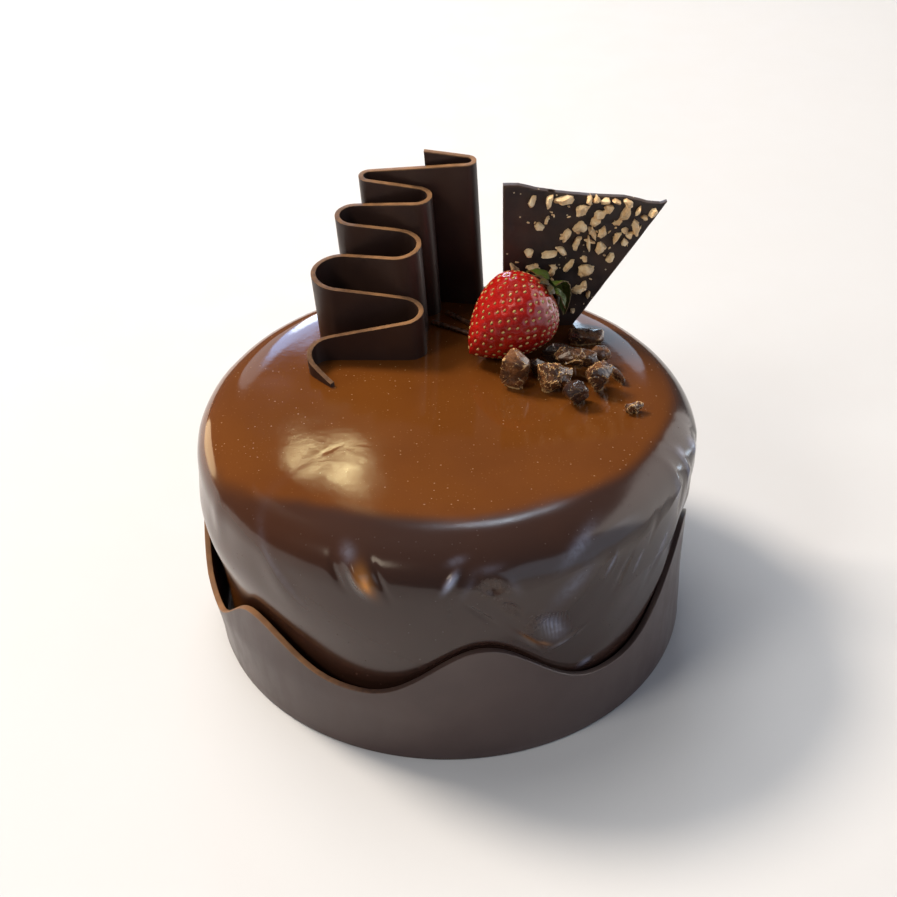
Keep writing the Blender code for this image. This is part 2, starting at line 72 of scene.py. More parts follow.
# Where the glaze ran thick or thin: direction in degrees, height, half width in degrees, half height, and depth.
GLAZE_SWELLS = (
    (-167.0, 51.0 * MM, 30.0, 10.0 * MM, 1.7 * MM),
    (-13.0, 52.0 * MM, 20.0, 9.0 * MM, -1.9 * MM),
    (-12.0, 76.0 * MM, 16.0, 6.0 * MM, 1.2 * MM),
    (-128.0, 27.0 * MM, 30.0, 17.0 * MM, -1.6 * MM),
    (-34.0, 58.0 * MM, 7.0, 7.0 * MM, 0.9 * MM),
)
# Drips and finger marks: direction in degrees, height, half length and half width in millimetres, turn, and depth.
GLAZE_MARKS = (
    (-111.2, 75.6, 4.6, 2.5, -52.0, 1.1), (-108.4, 72.2, 4.6, 2.3, -60.0, 2.1),
    (-104.2, 72.0, 5.2, 1.1, -62.0, -0.7), (-113.6, 71.4, 4.6, 1.2, -58.0, -0.6),
    (-89.9, 73.0, 3.2, 1.1, 55.0, 0.8), (-81.2, 70.6, 6.0, 4.8, -18.0, 1.1),
    (-81.2, 70.4, 3.4, 2.6, -18.0, -1.9), (-84.6, 62.5, 6.5, 1.0, -46.0, -0.6),
    (-77.0, 62.0, 6.0, 1.6, -46.0, -0.6), (-69.8, 51.6, 8.6, 6.4, -52.0, 1.3),
    (-69.2, 51.6, 6.0, 4.2, -52.0, -2.6), (-73.2, 47.2, 7.0, 1.0, -50.0, -0.9),
    (-64.6, 42.6, 5.0, 0.8, 24.0, 0.5), (-54.5, 66.3, 3.6, 1.7, 58.0, 0.7),
    (-45.2, 60.4, 5.0, 1.5, 58.0, 0.7), (-50.0, 61.0, 5.0, 1.2, 58.0, -0.5),
    (-42.0, 65.0, 7.0, 1.8, 56.0, -0.6), (-33.0, 66.0, 9.0, 2.6, 58.0, 0.7),
    (-27.0, 68.0, 6.0, 2.0, 64.0, -0.5), (-62.0, 66.0, 8.0, 3.6, 42.0, 0.5),
    (-20.0, 62.0, 8.0, 2.4, 68.0, 0.7), (-38.0, 54.0, 7.0, 2.4, 56.0, -0.6),
    (-58.3, 27.9, 2.4, 1.4, 20.0, 0.5), (-129.0, 62.0, 9.0, 5.0, -60.0, 0.5),
    (-150.0, 66.0, 7.0, 4.0, 80.0, 0.5), (-14.9, 74.0, 3.2, 2.4, 20.0, 0.6),
    (-22.0, 72.0, 6.0, 1.5, 82.0, 0.6), (-10.0, 69.0, 6.0, 1.8, 84.0, -0.6),
    (-28.5, 73.0, 6.0, 1.7, 70.0, 0.6), (-18.0, 66.0, 5.0, 2.0, 80.0, -0.6),
)
# A nick in the top, the same but with x and y in place of direction and height
TOP_MARKS = ((-35.3, -27.0, 0.7, 0.5, 10.0, -0.06),)
# Low steps across the top, which break up its highlight, written like TOP_MARKS
TOP_STEPS = (
    (-33.0, -36.6, 10.0, 2.0, -24.0, 0.035),
    (-41.4, -33.4, 6.0, 1.9, 52.0, 0.030),
)
# The ridges that a finger left in the lower mark: direction, height, half size, pitch and depth
FINGER_RIDGES = (-68.2, 51.0, 4.2, 1.25, 0.22)
# Tinted places: direction, height, half length, half width, turn and strength. Scuffs are dull. The warm and pale spots
# are painted reflections.
SCUFFS = (
    (-81.2, 70.4, 4.6, 3.2, -18.0, 1.0), (-77.6, 61.8, 5.0, 1.8, -50.0, 0.6),
    (-71.8, 54.2, 3.8, 4.0, -50.0, 0.9),
)
# Painted warm reflection on the drips' lower sides and on the lips of the finger marks
WARM_REFLECTION_SPOTS = (
    (-107.1, 71.6, 4.0, 1.7, -62.0, 0.55), (-106.8, 71.0, 2.0, 0.7, -68.0, 0.50),
    (-73.0, 47.6, 4.6, 0.7, -50.0, 0.20), (-69.8, 44.4, 2.6, 0.6, -38.0, 0.18),
)
# Painted cool reflection of the windows, on the drips, the finger marks and the right side
COOL_REFLECTION_SPOTS = (
    (-111.8, 77.2, 2.8, 1.9, -50.0, 0.20), (-89.8, 73.0, 2.8, 0.9, 55.0, 0.95),
    (-86.2, 71.6, 3.4, 1.2, 62.0, 0.10), (-81.6, 75.6, 3.4, 1.2, 8.0, 0.12),
    (-76.6, 70.0, 3.0, 1.4, -64.0, 0.08), (-67.8, 50.2, 4.6, 2.5, -60.0, 0.62),
    (-65.4, 42.2, 3.6, 0.6, 14.0, 0.20), (-58.3, 28.0, 2.2, 1.2, 20.0, 0.42),
    (-61.0, 76.0, 6.5, 1.8, 30.0, 0.34), (-63.5, 65.2, 6.5, 2.6, 40.0, 0.22),
    (-54.0, 66.6, 3.0, 0.6, 58.0, 0.40), (-45.6, 60.6, 3.4, 0.7, 58.0, 0.26),
    (-88.4, 77.6, 2.4, 1.1, 20.0, 0.20), (-129.0, 66.0, 12.0, 1.6, -50.0, 0.10),
    (-14.9, 74.3, 2.4, 2.0, 20.0, 1.0), (-20.4, 76.6, 1.8, 1.5, 40.0, 0.7),
    (-22.6, 71.0, 5.5, 0.8, 84.0, 0.6), (-12.0, 69.0, 4.0, 1.4, 80.0, 0.5),
    (-30.0, 71.0, 5.0, 1.4, 66.0, 0.3), (-36.0, 58.0, 6.0, 1.6, 52.0, 0.3),
)
# Where the top's colour gives way to the darker side colour, which is painted shade on the side that turns away from
# the light: direction in degrees, and radius
SIDE_SHADE_RADII = (
    (-180.0, 79.0), (-160.0, 78.0), (-150.0, 76.0), (-140.0, 72.0), (-130.0, 66.0), (-120.0, 62.5), (-100.0, 60.5),
    (-60.0, 61.5), (-40.0, 65.5), (-20.0, 69.0), (0.0, 73.0), (30.0, 76.0), (60.0, 77.0), (180.0, 79.0),
)

# The band's crests and troughs, in turn: direction in degrees and height. The last one leads back to the first.
BAND_WAVE = (
    (-190.0, 46.0 * MM), (-161.0, 20.5 * MM), (-138.5, 39.5 * MM), (-112.0, 27.0 * MM),
    (-83.5, 47.0 * MM), (-52.0, 23.5 * MM), (-19.0, 49.5 * MM), (14.0, 25.0 * MM),
    (45.0, 43.0 * MM), (74.0, 24.0 * MM), (106.0, 44.0 * MM), (138.0, 25.0 * MM),
)
TROUGH_WIDENING = 1.22
# How far the band leans out at the top of its flare: direction in degrees, half width in degrees, and distance.
BAND_LEANS = (
    (-172.0, 40.0, 2.9 * MM),
    (-95.0, 30.0, 0.9 * MM),
    (-8.0, 20.0, -0.7 * MM),
)
FLARE_HEIGHT = 22.0 * MM

# Each bend of the ribbon turns round an upright line at x and y, with its radius.
RIBBON_BENDS = (
    (-37.8 * MM, 16.8 * MM, 6.1 * MM), (-11.9 * MM, 27.1 * MM, 5.2 * MM), (-34.5 * MM, 38.3 * MM, 7.2 * MM),
    (-12.3 * MM, 41.7 * MM, 6.2 * MM), (-28.2 * MM, 51.8 * MM, 4.6 * MM), (-5.6 * MM, 53.2 * MM, 3.9 * MM),
    (-21.7 * MM, 60.4 * MM, 2.5 * MM), (11.3 * MM, 58.6 * MM, 2.2 * MM),
)
RIBBON_START = (-36.4 * MM, 6.6 * MM)
RIBBON_END = (-2.7 * MM, 61.8 * MM)
RIBBON_LEAN = (-0.049, -0.076)

# The shard's outline across the cake's back right, x and z in millimetres
SHARD_OUTLINE = (
    (20.1, 77.8), (42.0, 77.8), (44.6, 82.2), (58.0, 103.4), (72.6, 126.9), (70.6, 126.1), (66.0, 126.7),
    (58.8, 128.8), (50.0, 129.4), (40.5, 130.4), (30.0, 132.1), (24.5, 133.7), (19.6, 133.8),
)
# Chopped nuts on the shard's front: x and z, length and width in millimetres, turn in degrees, and how brown each is
NUTS = (
    (29.0, 128.1, 4.4, 2.6, 48, 0.2), (34.5, 128.3, 4.9, 2.5, 90, 0.2), (39.2, 128.3, 6.1, 3.2, -4, 0.5),
    (47.4, 128.0, 2.8, 2.7, 22, 0.1), (49.8, 128.4, 3.0, 2.1, 16, 0.2), (52.4, 127.6, 4.0, 2.2, 22, 0.1),
    (56.0, 127.7, 3.1, 1.8, -22, 0.6), (59.8, 127.0, 3.4, 2.8, -32, 0.3), (45.0, 124.8, 5.0, 3.6, 22, 0.4),
    (53.8, 125.3, 3.5, 3.2, 53, 0.3), (51.1, 123.2, 4.7, 3.0, 11, 0.2), (50.1, 120.4, 4.5, 2.8, -13, 0.2),
    (59.3, 122.8, 6.1, 3.3, 68, 0.4), (56.9, 119.9, 4.0, 1.9, 22, 0.2), (63.4, 124.0, 3.8, 1.7, 67, 0.2),
    (65.6, 121.6, 2.5, 2.1, 0, 0.3), (63.0, 118.4, 6.5, 2.1, 97, 0.2), (68.0, 123.2, 4.2, 2.3, 48, 0.1),
    (44.5, 118.4, 5.4, 3.9, 35, 0.5), (40.4, 116.0, 5.2, 3.0, 63, 0.3), (48.9, 116.1, 5.0, 2.4, 115, 0.2),
    (52.2, 116.9, 4.3, 2.7, 61, 0.2), (44.0, 112.8, 5.0, 2.7, 67, 0.1), (47.8, 112.0, 5.9, 1.7, 92, 0.1),
    (56.7, 114.5, 4.6, 2.1, 63, 0.2), (51.4, 110.7, 3.6, 3.5, 22, 0.1), (59.4, 112.5, 3.0, 2.2, 63, 0.3),
    (61.0, 115.4, 3.0, 2.2, 11, 0.2), (59.4, 117.0, 2.6, 1.9, -11, 0.8), (31.8, 118.9, 3.4, 2.6, -38, 0.5),
    (33.8, 121.2, 2.7, 1.4, 63, 0.7), (28.2, 109.5, 3.8, 3.4, -11, 0.4), (34.6, 108.7, 6.3, 2.2, 6, 0.1),
    (39.1, 110.2, 3.8, 2.7, -31, 0.1), (41.8, 104.3, 5.1, 2.1, 44, 0.2), (46.8, 106.8, 2.3, 2.0, 0, 0.3),
    (47.2, 103.0, 5.6, 4.8, 72, 0.3), (55.0, 107.0, 4.2, 2.6, 63, 0.1), (36.3, 102.7, 5.1, 2.3, 68, 0.9),
    (29.4, 103.7, 4.8, 2.7, 14, 0.9), (23.4, 103.9, 3.9, 2.1, -33, 1.0), (44.7, 95.1, 5.4, 3.1, 11, 0.1),
    (47.0, 97.2, 2.5, 1.7, 6, 0.3), (48.4, 93.0, 3.3, 1.5, 63, 0.2), (43.6, 87.0, 2.1, 1.4, 34, 0.6),
)
# Seeds of the random draws for the nuts, the turns of the berry's seeds and their sizes
NUT_DUST_SEED = 5
SEED_TURNS_SEED = 23
SEED_SIZES_SEED = 29

BERRY_MIDDLE = Vector((20.9, 23.4, 93.9)) * MM
BERRY_HEADING = math.radians(25.0)
BERRY_TILT = math.radians(31.0)
BERRY_WIDEST = 0.68
BERRY_TIP_BLUNTNESS = 0.86
# The green leaves: start, bend, tip and width direction in millimetres, width, and depth of the cup
BERRY_LEAVES = {
    "strawberry_leaf_1": ((35.4, 31.4, 103.4), (40.0, 34.6, 104.4), (40.4, 36.8, 88.0), (0.95, -0.3, 0.2), 6.4, 0.6),
    "strawberry_leaf_2": ((34.0, 31.4, 104.6), (32.0, 35.0, 107.4), (27.5, 37.4, 104.2), (0.7, 0.6, -0.2), 4.6, 0.4),
    "strawberry_leaf_3": ((36.2, 28.2, 102.0), (39.0, 27.2, 101.4), (39.2, 26.6, 96.4), (0.2, 0.9, 0.2), 3.4, 0.4),
}

# How crumbly each chunk is, and how pale its broken faces are, from nought to one
CHUNK_LOOKS = {
    "chunk_01": (0.15, 0.9),
    "chunk_02": (0.15, 0.1),
    "chunk_03": (0.5, 0.45),
    "chunk_04": (0.4, 0.7),
    "chunk_05": (0.9, 0.95),
    "chunk_06": (0.25, 0.15),
    "chunk_07": (0.7, 0.6),
    "chunk_08": (0.3, 0.2),
    "chocolate_sliver": (0.3, 0.2),
    "chocolate_slab": (0.2, 0.4),
    "crumb": (1.0, 1.5),
}
STICKS = {
    "stick_front": ((-4.2 * MM, 43.3 * MM), (12.2 * MM, 33.1 * MM)),
    "stick_back": ((1.0 * MM, 49.2 * MM), (15.6 * MM, 35.0 * MM)),
}
STICK_PALENESS = 0.5

# What each effect group takes, apart from its coordinates, with the defaults
EFFECT_INPUTS = {
    "Melt Drift": {"Scale": 40.0, "Dark": (0.03, 0.014, 0.009, 1.0), "Light": (0.06, 0.03, 0.018, 1.0)},
    "Fine Grain": {"Scale": 600.0, "Coarse": 0.5},
    "Fine Specks": {"Scale": 300.0, "Size": 0.1, "Share": 0.4},
    "Pale Edge": {"Edge": 0.0, "Scale": 500.0, "Breakup": 0.3},
}
# The floor's half size and how far it lies under the cake, what the camera looks at, and how high the lights aim
FLOOR_HALF = 0.8
FLOOR_DROP = 0.2 * MM
CAMERA_AIM = Vector((0.52, 0.0, 59.86)) * MM
LIGHT_AIM = Vector((0.0, 0.0, 0.075))
WARM = (1.0, 0.86, 0.70)
GOLD = (1.0, 0.86, 0.46)
COOL = (0.62, 0.80, 1.0)
# The lights: name, how far right of straight behind the cake and how high in degrees, distance, width, height, the
# setting that holds the brightness and the share of it, colour, turn, and whether it lights, mirrors or does both
LIGHTS = (
    ("key", -58.0, 48.0, 2.2, 0.6, 0.6, "key", 1.0, WARM, 0.0, "lights"),
    ("top", -30.0, 66.0, 2.4, 1.7, 1.7, "top", 1.0, (1.0, 0.95, 0.88), 0.0, "lights"),
    ("front_left", -122.0, 38.0, 2.2, 0.7, 0.7, "front", 1.0, (1.0, 0.93, 0.82), 0.0, "lights"),
    ("glint", -138.0, 45.0, 1.6, 0.50, 0.50, "lamp", 0.17, (1.0, 0.86, 0.68), 0.0, "mirrors"),
    ("lamp_left", -9.0, 37.7, 2.4, 0.075, 0.018, "lamp", 1.0, GOLD, -6.0, "both"),
    ("lamp_middle", -6.3, 38.1, 2.4, 0.095, 0.020, "lamp", 1.0, GOLD, -14.0, "both"),
    ("lamp_front", -6.6, 38.9, 2.4, 0.090, 0.020, "lamp", 1.0, GOLD, -20.0, "both"),
    ("streak", 5.0, 46.5, 2.4, 0.28, 0.055, "window", 3.6, (0.74, 0.86, 1.0), 0.0, "both"),
    ("window_left", -10.0, 16.0, 2.4, 0.32, 0.80, "window", 0.8, (0.80, 0.90, 1.0), 0.0, "mirrors"),
    ("sky_left", -9.5, 22.0, 2.4, 0.46, 0.84, "window", 0.50, (0.26, 0.52, 1.0), 0.0, "mirrors"),
    ("veil_left", -11.0, 21.0, 2.4, 1.0, 0.96, "window", 0.11, (0.86, 0.94, 1.0), 0.0, "mirrors"),
    ("window_behind", 6.6, 26.0, 2.4, 0.16, 0.56, "window", 1.0, COOL, 0.0, "mirrors"),
    ("veil_right", 12.0, 22.0, 2.4, 0.6, 0.9, "window", 0.20, COOL, 0.0, "mirrors"),
    ("window_side", 64.0, 2.0, 2.2, 0.50, 0.32, "window", 0.6, COOL, 0.0, "mirrors"),
    ("left_card", -53.0, 2.0, 2.0, 0.8, 0.8, "window", 0.40, (1.0, 0.76, 0.46), 0.0, "mirrors"),
)
# The flat cards, which are rectangles, written like LIGHTS
CARDS = (
    ("wall_right", 70.0, 22.0, 2.4, 2.7, 2.5, "wall", 1.0, (1.0, 0.93, 0.88), 0.0, "mirrors"),
    ("front_card", 125.0, 14.0, 1.8, 1.9, 1.3, "fill", 1.0, (0.74, 0.84, 1.0), 0.0, "both"),
)


def length(name, description, millimetres):
    """A property that holds a length, with its default in millimetres."""
    return FloatProperty(name=name, description=description, default=millimetres * MM, min=0.0, unit="LENGTH")


def share(name, description, default):
    return FloatProperty(name=name, description=description, default=default, min=0.0, max=1.0, subtype="FACTOR")


def colour(name, description, default):
    return FloatVectorProperty(
        name=name, description=description, default=(*default, 1.0), size=4, min=0.0, max=1.0, subtype="COLOR"
    )


class GlazeSettings(bpy.types.PropertyGroup):
    radius: length("Radius", "Radius of the cake at its shoulder", 80.0)
    height: length("Height", "Height of the cake's flat top", 80.8)
    shoulder: length("Shoulder", "Height where the side starts to round over", 66.0)
    flat_top: length("Flat Top", "Radius of the flat part of the top", 61.0)
    roundness: FloatProperty(name="Roundness", description="Power of the shoulder's curve", default=2.45, min=1.0)
    tuck: length("Tuck", "How far the side tucks in towards the base", 4.2)
    pool: length("Pool", "How far the glaze pools out at the foot", 1.3)
    waves: length("Waves", "Depth of the slow waves in the glaze", 0.16)
    base: colour("Colour", "Colour of the glaze", (0.142, 0.045, 0.0075))
    deep: colour("Deep Colour", "Colour where the glaze lies thickest", (0.118, 0.036, 0.0065))
    # side and side_left are painted shade: the cake's side is darkened where it turns from the light, and side_left
    # warms it at the left as a painted warm reflection
    side: colour("Side", "Colour of the thinner glaze on the cake's side", (0.035, 0.017, 0.013))
    side_left: colour("Side at the Left", "Colour of the coat on the side at the left", (0.056, 0.020, 0.009))
    specks: colour("Specks", "Colour of the fine pale specks in the glaze", (0.46, 0.27, 0.12))
    scuffed: colour("Scuffs", "Colour where the glaze is scuffed dull", (0.085, 0.042, 0.022))
    # Colour of the painted warm reflection on the drips and lips
    amber: colour("Amber", "Colour of thin, bright drops of glaze", (0.700, 0.280, 0.060))
    # Colour of the painted cool reflection
    sheen: colour("Sheen", "Colour where the glaze has a cool, pale sheen", (0.300, 0.330, 0.460))
    roughness: share("Roughness", "How dull the glaze is", 0.066)


class BandSettings(bpy.types.PropertyGroup):
    radius: length("Radius", "Outer radius of the band at its foot", 79.8)
    thickness: length("Thickness", "Thickness of the band", 2.0)
    base: colour("Colour", "Colour of the band's face", (0.060, 0.037, 0.034))
    light: colour("Bloom", "Colour of the band where it is slightly bloomed", (0.080, 0.052, 0.047))
    edge: colour("Edge", "Colour of the band's cut top edge", (0.260, 0.135, 0.066))
    roughness: share("Roughness", "How dull the band is", 0.34)


class RibbonSettings(bpy.types.PropertyGroup):
    thickness: length("Thickness", "Thickness of the ribbon", 1.6)
    low: length("Low End", "Height of the ribbon at its front end", 3.6)
    high: length("High End", "Height of the ribbon at its back end", 57.6)
    bow: length("Bow", "How far the top line bows up between the ends", 3.75)
    taper: length("Taper", "How far the front end comes down to its tip", 2.4)
    base: colour("Colour", "Colour of the ribbon's faces", (0.028, 0.014, 0.012))
    light: colour("Bloom", "Colour of the ribbon where it is slightly bloomed", (0.044, 0.023, 0.017))
    edge: colour("Edge", "Colour of the ribbon's cut top edge", (0.270, 0.140, 0.062))
    roughness: share("Roughness", "How dull the ribbon is", 0.40)


class ShardSettings(bpy.types.PropertyGroup):
    back: length("Distance", "How far behind the cake's middle the shard stands", 42.0)
    thickness: length("Thickness", "Thickness of the shard", 2.0)
    base: colour("Colour", "Colour of the shard's chocolate", (0.009, 0.006, 0.008))
    light: colour("Lit Patches", "Colour of the thin, paler patches", (0.044, 0.022, 0.014))
    nut: colour("Nuts", "Colour of the palest chopped nuts", (0.980, 0.790, 0.500))
    skin: colour("Nut Skins", "Colour of the brownest chopped nuts", (0.330, 0.170, 0.080))
    dust: IntProperty(name="Nut Dust", description="How many fine bits lie between the nuts", default=46, min=0)


class BerrySettings(bpy.types.PropertyGroup):
    span: length("Length", "Length of the strawberry from tip to leaves", 33.6)
    radius: length("Radius", "Greatest radius of the strawberry", 13.9)
    seeds: IntProperty(name="Seeds", description="How many seeds the strawberry has", default=300, min=0)
    dimple: length("Dimples", "Depth of the dimple round each seed", 0.42)
    base: colour("Colour", "Colour of the strawberry", (0.410, 0.008, 0.005))
    light: colour("Light Colour", "Colour round the seeds", (0.640, 0.060, 0.030))
    seed: colour("Seed Colour", "Colour of the seeds", (0.620, 0.420, 0.170))
    leaf: colour("Leaf Colour", "Colour of the leaves", (0.034, 0.054, 0.004))
    vein: colour("Vein Colour", "Colour of the leaves' veins", (0.075, 0.080, 0.018))
    shoulder: colour("Shoulder Colour", "Colour of the pale ring by the leaves", (0.62, 0.28, 0.12))
    rim: colour("Leaf Rim Colour", "Colour of the leaves' dry rims", (0.150, 0.080, 0.028))
    dry: colour("Dry Colour", "Colour of the withered leaves", (0.060, 0.032, 0.014))


class ChunkSettings(bpy.types.PropertyGroup):
    grain: length("Grain", "Size of the mesh that carries the broken surface", 0.34)
    crag: length("Crags", "Depth of the broken hollows", 1.0)
    base: colour("Colour", "Colour of the chunks' smooth faces", (0.014, 0.008, 0.008))
    broken: colour("Broken Colour", "Colour of freshly broken faces", (0.190, 0.078, 0.030))
    # ridge is the colour of a painted highlight on the chunks' raised ridges
    ridge: colour("Ridge Colour", "Colour of sharp broken ridges", (0.720, 0.450, 0.200))
    stick_radius: length("Stick Radius", "Radius of the thin sticks", 0.9)


class StageSettings(bpy.types.PropertyGroup):
    floor: colour("Floor", "Colour of the floor", (0.680, 0.700, 0.740))
    backdrop: colour("Backdrop", "What the camera sees beyond the floor", (0.860, 0.860, 0.860))
    room: colour("Room", "Dim light from all round", (0.100, 0.104, 0.115))
    lens: FloatProperty(name="Lens", description="Focal length on a 36 mm sensor", default=54.70, unit="CAMERA")
    pitch: FloatProperty(
        name="Pitch", description="How far the camera looks down", default=math.radians(37.34), subtype="ANGLE"
    )
    roll: FloatProperty(
        name="Roll", description="How far the camera is turned about its view", default=math.radians(-1.14),
        subtype="ANGLE",
    )
    reach: length("Reach", "Distance from the camera to what it looks at", 446.96)
    key: FloatProperty(name="Key Light", description="Brightness of the warm light at the left", default=58.0)
    top: FloatProperty(name="Top Light", description="Brightness of the wide light above", default=3.9)
    lamp: FloatProperty(name="Lamp", description="Brightness of the small warm lamps", default=30.0)
    window: FloatProperty(name="Window", description="Brightness of the cool windows", default=11.0)
    front: FloatProperty(name="Front Light", description="Brightness of the wide light at the front left", default=14.0)
    wall: FloatProperty(name="Wall", description="Brightness of the wall that the right side mirrors", default=2.35)
    fill: FloatProperty(name="Fill", description="Brightness of the dim card in front", default=1.1)


class CakeSettings(bpy.types.PropertyGroup):
    glaze: PointerProperty(type=GlazeSettings, name="Glaze", description="Sizes and colours of the glazed cake")
    band: PointerProperty(type=BandSettings, name="Band", description="Sizes and colours of the wavy band")
    ribbon: PointerProperty(type=RibbonSettings, name="Ribbon", description="Sizes and colours of the ribbon")
    shard: PointerProperty(type=ShardSettings, name="Shard", description="Sizes and colours of the nut shard")
    berry: PointerProperty(type=BerrySettings, name="Strawberry", description="Sizes and colours of the strawberry")
    chunks: PointerProperty(type=ChunkSettings, name="Chunks", description="Sizes and colours of the chunks")
    stage: PointerProperty(type=StageSettings, name="Stage", description="Floor, lights and camera")


def bell(offset, half_width):
    """One at an offset of nought, falling smoothly away on both sides."""
    return math.exp(-((offset / half_width) ** 2))


def turn_between(degrees, other):
    """The signed angle from one direction to the other, the short way round."""
    return (degrees - other + 180.0) % 360.0 - 180.0


def ease(value):
    """A smooth step from nought to one."""
    value = max(0.0, min(1.0, value))
    return value * value * (3.0 - 2.0 * value)


def soft_least(first, second, softness):
    """The lesser of two lengths, with the corner between them rounded, and never more than either."""
    least = min(first, second)
    return least - softness * math.log1p(math.exp(-abs(first - second) / softness))


def polar(point):
    """A point's distance from the upright axis, and its direction in degrees."""
    return math.hypot(point.x, point.y), math.degrees(math.atan2(point.y, point.x))


def raise_edges(bm, edges):
    """Draws a new row of faces out of these edges, and gives the new row's corners and edges."""
    raised = bmesh.ops.extrude_edge_only(bm, edges=edges)["geom"]
    return [[part for part in raised if isinstance(part, kind)] for kind in (bmesh.types.BMVert, bmesh.types.BMEdge)]


def mesh_from(bm, name):
    data = bpy.data.meshes.new(name)
    bm.to_mesh(data)
    bm.free()
    return data


def add_piece(name, data, finish, slot, *nodes, sharp=None):
    """Links a finished mesh as a piece that rides with the cake and stands for these nodes of the part."""
    data.materials.clear()
    data.materials.append(finish)
    data.shade_smooth()
    if sharp is not None:
        data.set_sharp_from_angle(angle=math.radians(sharp))
    piece = bpy.data.objects.new(name, data)
    bpy.context.scene.collection.objects.link(piece)
    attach(piece, BODY)
    if nodes:
        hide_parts(*nodes)
    return piece


def turned(profile, sides):
    """A bmesh of a line of (radius, height) points, top to bottom, turned once round Z."""
    bm = bmesh.new()
    line = [bm.verts.new((radius, 0.0, height)) for radius, height in profile]
    edges = [bm.edges.new(pair) for pair in zip(line, line[1:])]
    bmesh.ops.spin(
        bm, geom=line + edges, cent=(0.0, 0.0, 0.0), axis=(0.0, 0.0, 1.0), angle=math.tau, steps=sides, use_merge=True
    )
    bmesh.ops.remove_doubles(bm, verts=bm.verts, dist=0.001 * MM)
    bmesh.ops.recalc_face_normals(bm, faces=bm.faces)
    return bm


class Nodes:
    """Adds nodes to a tree. The place is the output that holds the coordinates."""

    def __init__(self, tree, place=None):
        self.tree = tree
        self.place = place

    def feed(self, value, socket):
        """A socket takes a plain value or another node's output."""
        if isinstance(value, bpy.types.NodeSocket):
            self.tree.links.new(value, socket)
        else:
            socket.default_value = value

    def add(self, kind, settings=None, sockets=None):
        made = self.tree.nodes.new(kind)
        for name, value in (settings or {}).items():
            setattr(made, name, value)
        for name, value in (sockets or {}).items():
            self.feed(value, made.inputs[name])
        return made

    def calculate(self, operation, first, second):
        return self.add("ShaderNodeMath", {"operation": operation}, {0: first, 1: second}).outputs[0]

    def times(self, first, second):
        return self.calculate("MULTIPLY", first, second)

    def plus(self, first, second):
        return self.calculate("ADD", first, second)

    def mix(self, factor, first, second):
        return self.add("ShaderNodeMix", {"data_type": "RGBA"}, {0: factor, 6: first, 7: second}).outputs[2]

    def remap(self, value, low, high, to_low=0.0, to_high=1.0):
        """A smooth step of the value from low to high."""
        sockets = {"Value": value, "From Min": low, "From Max": high, "To Min": to_low, "To Max": to_high}
        return self.add("ShaderNodeMapRange", {"interpolation_type": "SMOOTHSTEP"}, sockets).outputs["Result"]

    def noise(self, scale, detail=2.0, roughness=0.5, vector=None):
        sockets = {"Vector": vector or self.place, "Scale": scale, "Detail": detail, "Roughness": roughness}
        return self.add("ShaderNodeTexNoise", None, sockets).outputs["Fac"]

    def uneven(self, low, high, scale, detail=2.0, roughness=0.5):
        """A value that wanders between low and high."""
        return self.remap(self.noise(scale, detail, roughness), 0.3, 0.7, low, high)

    def effect(self, build, **sockets):
        """Places an effect group with its own values, and gives its output."""
        sockets["Vector"] = self.place
        return self.add("ShaderNodeGroup", {"node_tree": effect_group(build)}, sockets).outputs[0]


def effect_group(build):
    """The node group that a function fills, made the first time that it is asked for."""
    name = build.__name__.replace("_", " ").title()
    if name in bpy.data.node_groups:
        return bpy.data.node_groups[name]
    tree = bpy.data.node_groups.new(name, "ShaderNodeTree")
    tree.interface.new_socket(name="Vector", in_out="INPUT", socket_type="NodeSocketVector")
    for socket, default in EFFECT_INPUTS[name].items():
        kind = "NodeSocketColor" if isinstance(default, tuple) else "NodeSocketFloat"
        tree.interface.new_socket(name=socket, in_out="INPUT", socket_type=kind).default_value = default
    given = tree.nodes.new("NodeGroupInput").outputs
    output, value = build(Nodes(tree, given["Vector"]), given)
    kind = "NodeSocketColor" if output == "Colour" else "NodeSocketFloat"
    tree.interface.new_socket(name=output, in_out="OUTPUT", socket_type=kind)
    tree.links.new(value, tree.nodes.new("NodeGroupOutput").inputs[output])
    return tree


def melt_drift(nodes, given):
    """Colour that drifts slowly between two tones, as melted chocolate does."""
    slow = nodes.remap(nodes.noise(given["Scale"], 3.0, 0.55), 0.34, 0.68)
    fine = nodes.noise(nodes.times(given["Scale"], 9.0))
    mask = nodes.plus(nodes.times(slow, 0.8), nodes.times(fine, 0.2))
    return "Colour", nodes.mix(mask, given["Dark"], given["Light"])


def fine_grain(nodes, given):
    """Heights for a bump: a fine grain over a coarser one."""
    fine = nodes.noise(given["Scale"], 4.0, 0.6)
    coarse = nodes.noise(nodes.times(given["Scale"], 0.18))
    return "Height", nodes.plus(fine, nodes.times(coarse, nodes.times(given["Coarse"], 4.0)))


def fine_specks(nodes, given):
    """A mask of small scattered dots, such as air bubbles or dust."""
    cells = nodes.add("ShaderNodeTexVoronoi", None, {"Vector": nodes.place, "Scale": given["Scale"]}).outputs
    near = nodes.calculate("LESS_THAN", cells["Distance"], given["Size"])
    drawn = nodes.add("ShaderNodeSeparateColor", None, {0: cells["Color"]}).outputs[0]
    return "Mask", nodes.times(near, nodes.calculate("LESS_THAN", drawn, given["Share"]))


def pale_edge(nodes, given):
    """A mask from an edge value, broken up a little so that the rim isn't even."""
    rough = nodes.noise(given["Scale"], 3.0)
    lowered = nodes.times(nodes.calculate("SUBTRACT", rough, 0.5), given["Breakup"])
    return "Mask", nodes.remap(nodes.plus(given["Edge"], lowered), 0.25, 0.75)


